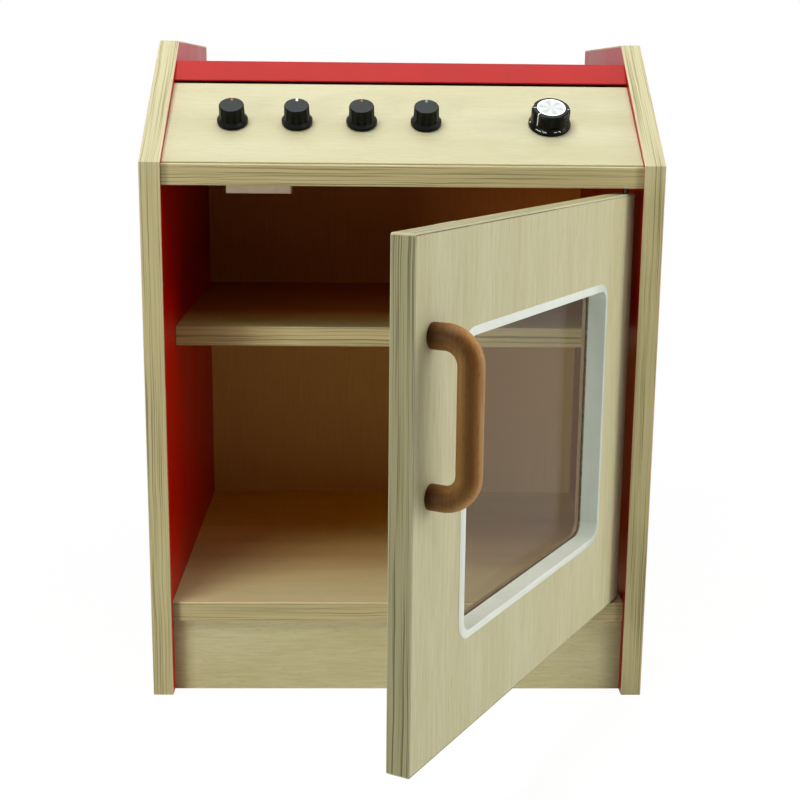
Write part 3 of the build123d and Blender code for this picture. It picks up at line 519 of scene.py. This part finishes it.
def moulded(name, colour, worn, roughness, tint=None, grit_mm=0.8, relief_mm=0.02):
    """A moulded plastic: one pigment with a slight drift, and the mould's fine grit."""
    made, tree = blank(name)
    swirl = pulled(tree, Z, *PIGMENT_MM)
    drift = add(tree, "TexNoise", (), {"Vector": swirl, "Scale": 1.0, "Detail": 3.0}).outputs["Fac"]
    tone = add(tree, "ValToRGB", (), {"Fac": drift}, [(0.35, worn), (0.6, colour)]).outputs["Color"]
    close = pulled(tree, Z, grit_mm, grit_mm)
    grit = add(tree, "TexNoise", (), {"Vector": close, "Scale": 1.0, "Detail": 2.0}).outputs["Fac"]
    eroded = {"Strength": 0.3, "Distance": relief_mm * MM, "Height": grit}
    relief = add(tree, "Bump", (), eroded).outputs[0]
    glossiest, dullest = roughness - 0.04, roughness + 0.05
    gloss = add(tree, "MapRange", (), {0: drift, 1: 0.3, 2: 0.7, 3: glossiest, 4: dullest}).outputs[0]
    varied = {"Base Color": tinted(tree, tone, tint), "Roughness": gloss, "Normal": relief}
    body = add(tree, "BsdfPrincipled", (), {"IOR": 1.5, **varied})
    add(tree, "OutputMaterial", (), {"Surface": body.outputs[0]})
    return made


# Off-white ABS window frame: a clean white edge, and painted shade that makes its reveal greyer towards the hinge.
bezel_low, bezel_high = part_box("window_bezel")
free_side, hinge_side = (Vector(corner).dot(Vector(door_along)) for corner in (bezel_low, bezel_high))
REVEAL_STOPS = [(0.0, WHITE), (0.86, "#fbfcfc"), (0.93, "#e0e7e7"), (1.0, "#dfe6e6")]
reveal_shade = tint_along(door_along, free_side, hinge_side, REVEAL_STOPS)
bezel_abs = moulded("moulded_abs_white", "#e7ebe0", "#e3e7db", 0.38, reveal_shade)
# Styrene catch, dull; its beige, a little pink, is painted shade from the top board above it.
catch_styrene = moulded("moulded_styrene_shaded", "#bfae96", "#b4a38a", 0.45)
# Cream styrene screw caps, matched to the foil so that they hardly show.
cap_styrene = moulded("moulded_cap_cream", "#cbc59e", "#c2bb92", 0.45)
# Natural nylon bushes: milky and slightly waxy.
nylon = moulded("natural_nylon", "#e6e2d6", "#dcd7c8", 0.4)
# Dark brown nylon of the pivot washer, drawn nearly black as painted shade, so that it reads as its gap.
dark_nylon = moulded("brown_nylon", "#2c2826", "#25211f", 0.4)
# Brown ABS frame behind the pane, which shows as a thin tan line through it.
frame_abs = moulded("moulded_abs_brown", "#8c7254", "#846b4e", 0.4)
# Inlays moulded into the knobs, of which the white is also the ink's: clear, small strokes.
mark_orange = moulded("inlay_orange", "#8f3e26", "#823620", 0.4)
mark_white = moulded("inlay_white", "#eeeeea", "#e2e2dc", 0.4)
mark_red = moulded("inlay_red", "#862b21", "#7a251c", 0.4)
mark_cyan = moulded("inlay_cyan", "#5f9c99", "#568f8b", 0.4)
# Sintered ferrite of the catch's magnet: charcoal, dull and grainy.
ferrite = moulded("sintered_ferrite", "#3a3739", "#2f2d2f", 0.7, grit_mm=0.5, relief_mm=0.04)
inlays = (mark_orange, mark_white, mark_red, mark_cyan)
plastics = (bezel_abs, catch_styrene, cap_styrene, nylon, dark_nylon, frame_abs)
print("moulded:", [piece.name for piece in (*plastics, *inlays, ferrite)])

# %% [markdown]
# ## Phenolic knobs
# The dials are pressed from black phenolic resin, which comes out of the mould glossy, and
# their crowns are faced off on a lathe, which leaves a greyer, duller disc. The crown could
# be a second material on its own faces, but the meshes stay as they are, so the normal
# finds it: only the crown faces straight out of the panel.

# %% Press and face the knobs
RESIN_MM = (6, 9)


def pressed_knob(name, dark, colour, top, shine):
    """A phenolic knob: near black and glossy, its faced crown a greyer disc."""
    made, tree = blank(name)
    swirl = pulled(tree, Z, *RESIN_MM)
    drift = add(tree, "TexNoise", (), {"Vector": swirl, "Scale": 1.0, "Detail": 3.0}).outputs["Fac"]
    resin = add(tree, "ValToRGB", (), {"Fac": drift}, [(0.35, dark), (0.6, colour)]).outputs["Color"]
    normal = add(tree, "TexCoord").outputs["Normal"]
    facing = add(tree, "VectorMath", DOT, {0: normal, 1: panel_out}).outputs["Value"]
    crown = add(tree, "MapRange", (), {0: facing, 1: 0.93, 2: 0.985}).outputs[0]
    tone = add(tree, "Mix", BLEND, {0: crown, 6: resin, 7: linear(top)}).outputs[2]
    gloss = add(tree, "MapRange", (), {0: crown, 3: 0.24, 4: 0.5}).outputs[0]
    varied = {"Base Color": tone, "Roughness": gloss}
    body = add(tree, "BsdfPrincipled", (), {"IOR": 1.5, "Specular IOR Level": shine, **varied})
    add(tree, "OutputMaterial", (), {"Surface": body.outputs[0]})
    return made


knob_phenolic = pressed_knob("moulded_knob_black", "#0b0c0b", "#0d0f0e", "#2c3230", 0.12)
timer_phenolic = pressed_knob("moulded_timer_black", "#060606", "#080908", "#242725", 0.1)
print("knobs:", knob_phenolic.name, timer_phenolic.name)

# %% [markdown]
# ## Cast acrylic pane
# The window is a clear cast sheet. To the eye it is a faint grey veil that mirrors more,
# the flatter one looks along it. A Principled surface with full transmission would bend
# the view at both faces and needs many bounces. A thin pane hardly bends anything, so it
# is a see-through colour, a polished skin that grows with the flatness of the view, and a
# thin film of scuffs that catches a little of the light.

# %% Cast the pane
SMEAR_MM = (40, 60)
SCUFFED_SHARE = 0.04
MIRROR_HEAD_ON, MIRROR_FLAT = 0.01, 0.11


def acrylic(name):
    """A clear sheet under a polished skin and a film of fine scuffs."""
    made, tree = blank(name)
    wiped = pulled(tree, Z, *SMEAR_MM)
    smear = add(tree, "TexNoise", (), {"Vector": wiped, "Scale": 1.0, "Detail": 3.0}).outputs["Fac"]
    haze = add(tree, "MapRange", (), {0: smear, 1: 0.35, 2: 0.7, 3: 0.02, 4: 0.07}).outputs[0]
    clear = add(tree, "BsdfTransparent", (), {"Color": linear("#eae9e4")}).outputs[0]
    skin = add(tree, "BsdfGlossy", (), {"Color": linear(WHITE), "Roughness": haze}).outputs[0]
    flatness = add(tree, "LayerWeight", (), {"Blend": 0.5}).outputs["Facing"]
    steep = add(tree, "Math", {"operation": "POWER"}, {0: flatness, 1: 3.0}).outputs[0]
    share = add(tree, "MapRange", (), {0: steep, 3: MIRROR_HEAD_ON, 4: MIRROR_FLAT}).outputs[0]
    polished = add(tree, "MixShader", (), {0: share, 1: clear, 2: skin}).outputs[0]
    scuffs = add(tree, "BsdfDiffuse", (), {"Color": linear("#f0e4cc")}).outputs[0]
    pane = add(tree, "MixShader", (), {0: SCUFFED_SHARE, 1: polished, 2: scuffs})
    add(tree, "OutputMaterial", (), {"Surface": pane.outputs[0]})
    return made


pane_acrylic = acrylic("cast_acrylic")
print("pane:", pane_acrylic.name)

# %% [markdown]
# ## Stained beech handle
# The bow handle is turned beech, steam-bent and stained brown, then waxed. To the eye it
# is a warm brown with a fine grain along the rod and the short dark flecks that give beech
# away. Over the stain lies painted shade: darker along the rod's face, which gets the
# least light, darker at the two feet next to the door, and a little greyer on its left.
# Each of these could be a painted mask. Here the rod's own normal and its distance from
# the door place them.

# %% Stain the beech
# Beech pores are a tenth of a millimetre wide. The grain and flecks are drawn coarser.
BEECH_MM = (2.6, 55)
FLECK_MM = (0.7, 4.0)
FOOT_LENGTH = 26 * MM
# The rod gets the least light where it faces this way, and there it takes painted shade.
SHADED_FACE = Vector((-0.07, -0.965, 0.25)).normalized()


def stained_beech(name, feet_shade):
    """Brown beech with fine grain and short flecks, with painted shade along its face and at its feet."""
    made, tree = blank(name)
    along = {"Vector": pulled(tree, Z, *BEECH_MM), "Scale": 1.0, "Detail": 3.0, "Distortion": 0.6}
    grain = add(tree, "TexNoise", (), along).outputs["Fac"]
    browns = [(0.3, "#9d7342"), (0.5, "#ab7e49"), (0.7, "#b68953")]
    stain = add(tree, "ValToRGB", (), {"Fac": grain}, browns).outputs["Color"]
    short = pulled(tree, Z, *FLECK_MM)
    flecks = add(tree, "TexNoise", (), {"Vector": short, "Scale": 1.0, "Detail": 1.0}).outputs["Fac"]
    dots = add(tree, "MapRange", (), {0: flecks, 1: 0.62, 2: 0.7, 3: 0.0, 4: 0.5}).outputs[0]
    tone = add(tree, "Mix", BLEND, {0: dots, 6: stain, 7: linear("#75532c")}).outputs[2]
    normal = add(tree, "TexCoord").outputs["Normal"]
    # Painted shade along the rod's face, and a little more on its left side.
    facing = add(tree, "VectorMath", DOT, {0: normal, 1: SHADED_FACE}).outputs["Value"]
    face_shade_stops = [(0.62, WHITE), (0.86, "#c5bca2"), (0.97, "#998969")]
    deep = add(tree, "ValToRGB", (), {"Fac": facing}, face_shade_stops).outputs["Color"]
    face_shaded = add(tree, "Mix", MULTIPLY, {0: 1.0, 6: tone, 7: deep}).outputs[2]
    aside = add(tree, "SeparateXYZ", (), {0: normal}).outputs["X"]
    turned = add(tree, "MapRange", (), {0: aside, 1: -0.5, 2: 1.0}).outputs[0]
    left_shade_stops = [(0.0, "#ddddd4"), (0.7, WHITE)]
    greyer = add(tree, "ValToRGB", (), {"Fac": turned}, left_shade_stops).outputs["Color"]
    left_shaded = add(tree, "Mix", MULTIPLY, {0: 1.0, 6: face_shaded, 7: greyer}).outputs[2]
    raised = {"Strength": 0.2, "Distance": 0.06 * MM, "Height": grain}
    relief = add(tree, "Bump", (), raised).outputs[0]
    waxed = {"IOR": 1.48, "Roughness": 0.45, "Specular IOR Level": 0.12}
    varied = {"Base Color": tinted(tree, left_shaded, feet_shade), "Normal": relief}
    body = add(tree, "BsdfPrincipled", (), {**waxed, **varied})
    add(tree, "OutputMaterial", (), {"Surface": body.outputs[0]})
    return made


foot = min(vertex.co.dot(Vector(door_out)) for vertex in nodes["door_handle"].data.vertices)
# Painted contact shade at the feet, fading out along the rod.
feet = tint_along(door_out, foot, foot + FOOT_LENGTH, [(0.1, "#a08c70"), (0.95, WHITE)])
handle_beech = stained_beech("stained_beech", feet)
print("handle feet", round(foot * 1000, 1), "mm along the door's normal")

# %% [markdown]
# ## Plated and turned metals
# The screws and the strike plate are zinc plated steel, the shelf pins and spindles are
# turned steel, and the pivot pins are blackened. Drawing and turning leave fine lines,
# which to the eye spread a highlight into a soft streak. Anisotropy could do this alone,
# but the lines also break up the tone.

# %% Draw and plate the metals
# Tool lines are a few hundredths of a millimetre apart. They are drawn at 0.4 mm.
TOOL_LINE_MM = (0.4, 12)


def metal(name, colour, shade, roughness):
    """Drawn, turned or plated metal with fine upright lines."""
    made, tree = blank(name)
    upright = pulled(tree, Z, *TOOL_LINE_MM)
    lines = add(tree, "TexNoise", (), {"Vector": upright, "Scale": 1.0, "Detail": 2.0}).outputs["Fac"]
    tone = add(tree, "ValToRGB", (), {"Fac": lines}, [(0.35, shade), (0.65, colour)]).outputs["Color"]
    brightest, dullest = roughness - 0.06, roughness + 0.08
    gloss = add(tree, "MapRange", (), {0: lines, 1: 0.3, 2: 0.7, 3: brightest, 4: dullest}).outputs[0]
    scored = {"Strength": 0.15, "Distance": 0.02 * MM, "Height": lines}
    relief = add(tree, "Bump", (), scored).outputs[0]
    varied = {"Base Color": tone, "Roughness": gloss, "Normal": relief}
    body = add(tree, "BsdfPrincipled", (), {"Metallic": 1.0, **varied})
    add(tree, "OutputMaterial", (), {"Surface": body.outputs[0]})
    return made


# Zinc plated screws: a pale, slightly yellow grey.
zinc = metal("zinc_plated_steel", "#c9c6bd", "#b5b2a8", 0.3)
# Turned steel shelf pins and spindles: a clean, bluish grey.
steel = metal("turned_steel", "#c2c4c6", "#acaeb0", 0.28)
# Blackened pivot pins: dark, with a soft edge of light, and drawn dark also as painted shade, so that they read as
# their gap.
black_steel = metal("blackened_steel", "#3c3a38", "#2f2d2b", 0.35)
# Zinc plated sheet of the strike plate: duller than the screws.
strike_zinc = metal("zinc_plated_sheet", "#c4c2ba", "#b4b1a7", 0.35)
print("metals:", [m.name for m in (zinc, steel, black_steel, strike_zinc)])

# %% [markdown]
# ## Spun aluminium cap
# The timer's cap is a disc of aluminium, spun on a lathe. Its circular tool lines throw
# the light in fans, with a bright turned rim around them. Real fans move with the light.
# At this size only their tone shows, so they are painted highlights, drawn around the
# dial's centre, where the angle comes from an arctangent of the two directions in the
# panel. The rim's brighter grey is a painted highlight as well.

# %% Spin the cap
FANS = 6.0
# Painted highlights: the tones of the fans, and the rim's brighter grey.
FAN_TONES = [(0.05, "#8f9592"), (0.35, "#9a9f9c"), (0.8, "#a2a7a4")]
RIM_FROM_MM, RIM_TO_MM = 9.4, 10.0
dial_centre = Vector(dial["pos_m"])


def spun_cap(name):
    """Aluminium with painted fans of light and a bright rim that is a painted highlight."""
    made, tree = blank(name)
    place = add(tree, "TexCoord").outputs["Object"]
    arm = add(tree, "VectorMath", {"operation": "SUBTRACT"}, {0: place, 1: dial_centre}).outputs[0]
    right = add(tree, "VectorMath", DOT, {0: arm, 1: X}).outputs["Value"]
    up = add(tree, "VectorMath", DOT, {0: arm, 1: panel_up}).outputs["Value"]
    angle = add(tree, "Math", {"operation": "ARCTAN2"}, {0: up, 1: right}).outputs[0]
    turns = add(tree, "Math", {"operation": "MULTIPLY"}, {0: angle, 1: FANS}).outputs[0]
    beam = add(tree, "Math", {"operation": "SINE"}, {0: turns}).outputs[0]
    light = add(tree, "MapRange", (), {0: beam, 1: -1.0, 2: 1.0}).outputs[0]
    fanned = add(tree, "ValToRGB", (), {"Fac": light}, FAN_TONES).outputs["Color"]
    flat = add(tree, "CombineXYZ", (), {"X": right, "Y": up}).outputs[0]
    reach = add(tree, "VectorMath", {"operation": "LENGTH"}, {0: flat}).outputs["Value"]
    rim = add(tree, "MapRange", (), {0: reach, 1: RIM_FROM_MM * MM, 2: RIM_TO_MM * MM}).outputs[0]
    colour = add(tree, "Mix", BLEND, {0: rim, 6: fanned, 7: linear("#dbe0dc")}).outputs[2]
    body = add(tree, "BsdfPrincipled", (), {"Metallic": 1.0, "Roughness": 0.45, "Base Color": colour})
    add(tree, "OutputMaterial", (), {"Surface": body.outputs[0]})
    return made


cap_aluminium = spun_cap("spun_aluminium")
print("cap:", cap_aluminium.name, "materials so far:", len(bpy.data.materials))

# %% [markdown]
# ## Which node wears which finish
# The boards and strips are told apart by the direction of their faces, the right inner
# laminate and the timer knob by their shade, and everything else by its slot in the
# record. One material takes the place of the frame's plain one, and no shape is touched.

# %% Dress the nodes
BY_NODE = {
    "side_board_left": foil_side,
    "side_board_right": foil_side,
    "door_board": foil_door,
    "floor_board": foil_floor,
    "shelf_board": foil_shelf,
    "top_board": foil_level,
    "plinth_board": foil_plinth,
    "control_panel": foil_panel,
    "side_laminate_right": red_shaded,
    "side_edge_band_left": strip_side,
    "side_edge_band_right": strip_side,
    "door_edge_band": strip_door,
    "floor_edge_band": strip_level,
    "shelf_edge_band": strip_shelf,
    "top_edge_band": strip_level,
    "timer_knob": timer_phenolic,
}
BY_SLOT = {
    "red_sheet": red_sheet,
    "red_cover": red_cover,
    "back_sheet": back_sheet,
    "cap_plastic": cap_styrene,
    "zinc_steel": zinc,
    "pin_steel": steel,
    "strike_steel": strike_zinc,
    "nylon": nylon,
    "dark_nylon": dark_nylon,
    "dark_frame": frame_abs,
    "black_steel": black_steel,
    "catch_plastic": catch_styrene,
    "magnet": ferrite,
    "bezel_plastic": bezel_abs,
    "pane": pane_acrylic,
    "handle_wood": handle_beech,
    "knob_plastic": knob_phenolic,
    "mark_orange": mark_orange,
    "mark_white": mark_white,
    "mark_red": mark_red,
    "mark_cyan": mark_cyan,
    "spun_aluminium": cap_aluminium,
}
slot_of = {row["node"]: row["material_slot"] for row in frame["record"]["subparts"]}
for name, piece in nodes.items():
    finish = BY_NODE.get(name) or BY_SLOT[slot_of[name]]
    piece.data.materials.clear()
    piece.data.materials.append(finish)
print("dressed:", len(nodes))

# %% [markdown]
# ## Printed marks on the timer dial
# The timer's skirt and shoulder carry small white strokes, pad-printed where the dial is
# read. They could be a mask in the knob's material, but ink is a thing that lies on top, so
# each is a thin ribbon laid on the knob's own surface and riding with it. A place on the
# dial is a turn from the top, a radius and a height over the panel, all read along the
# knob's cone, so that the ink follows the slope.

# %% Lay a ribbon of ink
INK = 0.12 * MM


def on_dial(turn, radius_mm, height_mm):
    """The place at a turn in degrees, a radius and a height over the panel, and its way outwards."""
    angle = math.radians(turn)
    outwards = math.sin(angle) * Vector(X) + math.cos(angle) * Vector(panel_up)
    place = dial_centre + outwards * radius_mm * MM + Vector(panel_out) * height_mm * MM
    return place, outwards


def ink_ribbon(name, stations, width_mm, lean_out, lean_up):
    """A ribbon of ink through (turn, radius, height) stations, flat on a surface that leans so."""
    places, normals = [], []
    for station in stations:
        place, outwards = on_dial(*station)
        places.append(place)
        normals.append((outwards * lean_out + Vector(panel_out) * lean_up).normalized())
    mesh = bmesh.new()
    rings = []
    for index, (place, normal) in enumerate(zip(places, normals)):
        before, after = places[max(index - 1, 0)], places[min(index + 1, len(places) - 1)]
        side = (after - before).normalized().cross(normal) * width_mm * MM / 2
        under, over = place - normal * INK, place + normal * INK / 2
        corners = (under - side, under + side, over + side, over - side)
        rings.append([mesh.verts.new(corner) for corner in corners])
    for one, other in zip(rings, rings[1:]):
        for k in range(4):
            mesh.faces.new((one[k], one[(k + 1) % 4], other[(k + 1) % 4], other[k]))
    mesh.faces.new(rings[0][::-1])
    mesh.faces.new(rings[-1])
    bmesh.ops.recalc_face_normals(mesh, faces=mesh.faces)
    data = bpy.data.meshes.new(name)
    mesh.to_mesh(data)
    mesh.free()
    piece = bpy.data.objects.new(name, data)
    bpy.context.scene.collection.objects.link(piece)
    data.materials.append(mark_white)
    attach(piece, "dial_timer")


print("ink:", round(INK * 1.5 / MM, 2), "mm thick, dial centre", [round(v, 4) for v in dial_centre])

# %% [markdown]
# ## Strokes on the skirt and on the shoulder
# The skirt is a cone that comes in by half a millimetre for each millimetre up, so a
# stroke there is given by its two turns and its two heights. The shoulder is rounded, so
# its two marks are given place by place.

# %% Print the strokes
# How far each surface faces outwards and how far up from the panel.
CONE = (0.894, 0.447)
SHOULDER = (0.3, 0.954)
SKIRT_RADIUS_MM, SKIRT_TOP_MM, CONE_PER_MM = 16.5, 2.1, 0.5
# name: turns from, to; heights from, to; number of stations; width in mm
ON_SKIRT = {
    "dial_dot": (264.5, 260.5, 3.9, 3.9, 3, 1.1),
    "dial_stroke_long": (227.5, 211.0, 3.4, 3.3, 7, 0.6),
    "dial_stroke_slanted": (206.5, 202.0, 4.1, 2.9, 4, 0.5),
    "dial_stroke_short": (201.5, 194.0, 3.5, 3.2, 4, 0.6),
    "dial_dash": (172.5, 163.5, 3.7, 3.6, 5, 0.5),
    "dial_tick": (160.0, 153.0, 4.3, 3.3, 4, 0.6),
}
# name: stations as turn, radius and height in mm; width in mm
ON_SHOULDER = {
    "dial_left_mark": ([(271.0, 13.6, 15.5), (271.3, 12.6, 15.78), (271.6, 11.4, 15.82)], 0.8),
    "dial_right_mark": ([(98.5, 13.9, 15.4), (98.5, 13.2, 15.66), (98.5, 12.6, 15.78)], 0.7),
}


def on_skirt(start, end, low, high, count):
    """Stations up the skirt's cone from one turn to another, from one height to another."""
    made = []
    for k in range(count):
        share = k / (count - 1)
        height = low + (high - low) * share
        radius = SKIRT_RADIUS_MM - (height - SKIRT_TOP_MM) * CONE_PER_MM
        made.append((start + (end - start) * share, radius, height))
    return made


for name, (start, end, low, high, count, width) in ON_SKIRT.items():
    ink_ribbon(name, on_skirt(start, end, low, high, count), width, *CONE)
for name, (stations, width) in ON_SHOULDER.items():
    ink_ribbon(name, stations, width, *SHOULDER)
print("ink marks:", len(ON_SKIRT) + len(ON_SHOULDER))

# %% [markdown]
# ## A white floor that keeps the shadow
# The oven stands on white with only the faintest shadow. A bright lamp could burn the
# floor out to white, but it would bleach the oven too. Instead the floor is a plain pale
# board to the light that bounces, while the camera and reflections see a glowing white
# that a thin diffuse layer darkens a little in the oven's shadow.

# %% Lay the floor
FLOOR_SIDE = 8.0
SHADOW_FROM, SHADOW_TO = 0.5, 1.1
VEIL_GLOW, CATCHER_GREY = 0.93, 0.09


def seen_directly(tree):
    """1 for rays from the camera, off a gloss or through a pane, 0 for those that light the room."""
    path = add(tree, "LightPath").outputs
    seen = {0: path["Is Camera Ray"], 1: path["Is Glossy Ray"]}
    first = add(tree, "Math", {"operation": "MAXIMUM"}, seen).outputs[0]
    through = {0: first, 1: path["Is Transmission Ray"]}
    return add(tree, "Math", {"operation": "MAXIMUM"}, through).outputs[0]


def white_floor():
    """A large floor: a soft shadow round the oven, fading into the white room further out."""
    bpy.ops.mesh.primitive_plane_add(size=FLOOR_SIDE, location=(0, 0, 0))
    floor = bpy.context.object
    floor.name = "floor"
    made, tree = blank("white_floor")
    ground = add(tree, "BsdfDiffuse", (), {"Color": linear("#e6e6e4")}).outputs[0]
    white = add(tree, "Emission", (), {"Color": linear(WHITE), "Strength": 1.0}).outputs[0]
    veil = add(tree, "Emission", (), {"Color": linear(WHITE), "Strength": VEIL_GLOW}).outputs[0]
    catcher = add(tree, "BsdfDiffuse", (), {"Color": (*[CATCHER_GREY] * 3, 1.0)}).outputs[0]
    near = add(tree, "AddShader", (), {0: veil, 1: catcher}).outputs[0]
    place = add(tree, "TexCoord").outputs["Object"]
    reach = add(tree, "VectorMath", {"operation": "LENGTH"}, {0: place}).outputs["Value"]
    smooth = {"interpolation_type": "SMOOTHSTEP"}
    fade = add(tree, "MapRange", smooth, {0: reach, 1: SHADOW_FROM, 2: SHADOW_TO}).outputs[0]
    shown = add(tree, "MixShader", (), {0: fade, 1: near, 2: white}).outputs[0]
    both = add(tree, "MixShader", (), {0: seen_directly(tree), 1: ground, 2: shown})
    add(tree, "OutputMaterial", (), {"Surface": both.outputs[0]})
    floor.data.materials.append(made)


white_floor()
print("floor:", FLOOR_SIDE, "m square")

# %% [markdown]
# ## A white world that gives no light
# The world could light the scene too, but a white world from all sides flattens every
# board. So it is white only where it is seen, by the camera, in a reflection or through
# the pane, and black to the rest.

# %% Paint the world
world = bpy.data.worlds.new("studio")
bpy.context.scene.world = world
world.use_nodes = True
world.node_tree.nodes.clear()
glow = {"Color": linear(WHITE), "Strength": seen_directly(world.node_tree)}
sky = add(world.node_tree, "Background", (), glow)
add(world.node_tree, "OutputWorld", (), {"Surface": sky.outputs[0]})
print("world:", world.name)

# %% [markdown]
# ## Five soft boxes
# The light comes from rectangles, as soft boxes in a studio: a large one above, a high and
# a low one on the left, and two on the right. One sun would give hard shadows. Their
# powers were set so that the boards' colours render about as they are written.

# %% Hang the lamps
# name: place in metres; width and height in metres; power in watts
LAMPS = {
    "lamp_above": ((0.0, -0.1, 2.2), 1.6, 1.6, 29),
    "lamp_left_high": ((-0.7, -0.8, 2.1), 0.7, 0.7, 17.2),
    "lamp_left_low": ((-1.4, -1.55, 0.4), 0.5, 0.4, 9.6),
    "lamp_right": ((1.9, -0.2, 0.8), 1.0, 1.4, 20.5),
    "lamp_right_high": ((1.0, -1.1, 1.7), 0.7, 0.7, 3.0),
}
middle = (cad_box[0] + cad_box[1]) / 2


def soft_box(name, place, width, height, power):
    """A rectangular soft box at one place, aimed at the middle of the oven."""
    data = bpy.data.lights.new(name, "AREA")
    data.shape = "RECTANGLE"
    data.size, data.size_y = width, height
    data.energy = power
    lamp = bpy.data.objects.new(name, data)
    lamp.location = place
    lamp.rotation_euler = (middle - Vector(place)).to_track_quat("-Z", "Y").to_euler()
    bpy.context.scene.collection.objects.link(lamp)


for name, (place, width, height, power) in LAMPS.items():
    soft_box(name, place, width, height, power)
print("lamps:", len(bpy.data.lights))

# %% [markdown]
# ## Camera
# The photograph was taken from a little over a metre away, just above the height of the
# cover and looking down. The camera could be pointed by a constraint, but its roll matters
# too, so its place and three turns were found by fitting the corners of the boards, and
# the lens follows from the size of the picture.

# %% Place the camera
CAMERA_PLACE = (-0.0255, -1.0969, 0.4859)
CAMERA_YAW, CAMERA_PITCH, CAMERA_ROLL = -0.023, 0.22, 0.01
LENS_MM, SENSOR_MM = 64.15, 36.0
data = bpy.data.cameras.new("camera")
data.lens = LENS_MM
data.sensor_width = SENSOR_MM
camera = bpy.data.objects.new("camera", data)
turn = Matrix.Rotation(CAMERA_YAW, 4, "Z")
tip = Matrix.Rotation(math.pi / 2 - CAMERA_PITCH, 4, "X")
roll = Matrix.Rotation(CAMERA_ROLL, 4, "Z")
camera.matrix_world = Matrix.Translation(CAMERA_PLACE) @ turn @ tip @ roll
bpy.context.scene.collection.objects.link(camera)
bpy.context.scene.camera = camera
bpy.context.scene.view_settings.view_transform = "Standard"
print("camera at", CAMERA_PLACE, "lens", LENS_MM)

# %% [markdown]
# ## Finish
# At the end the view layer is brought up to date.

# %% Finish
bpy.context.view_layer.update()
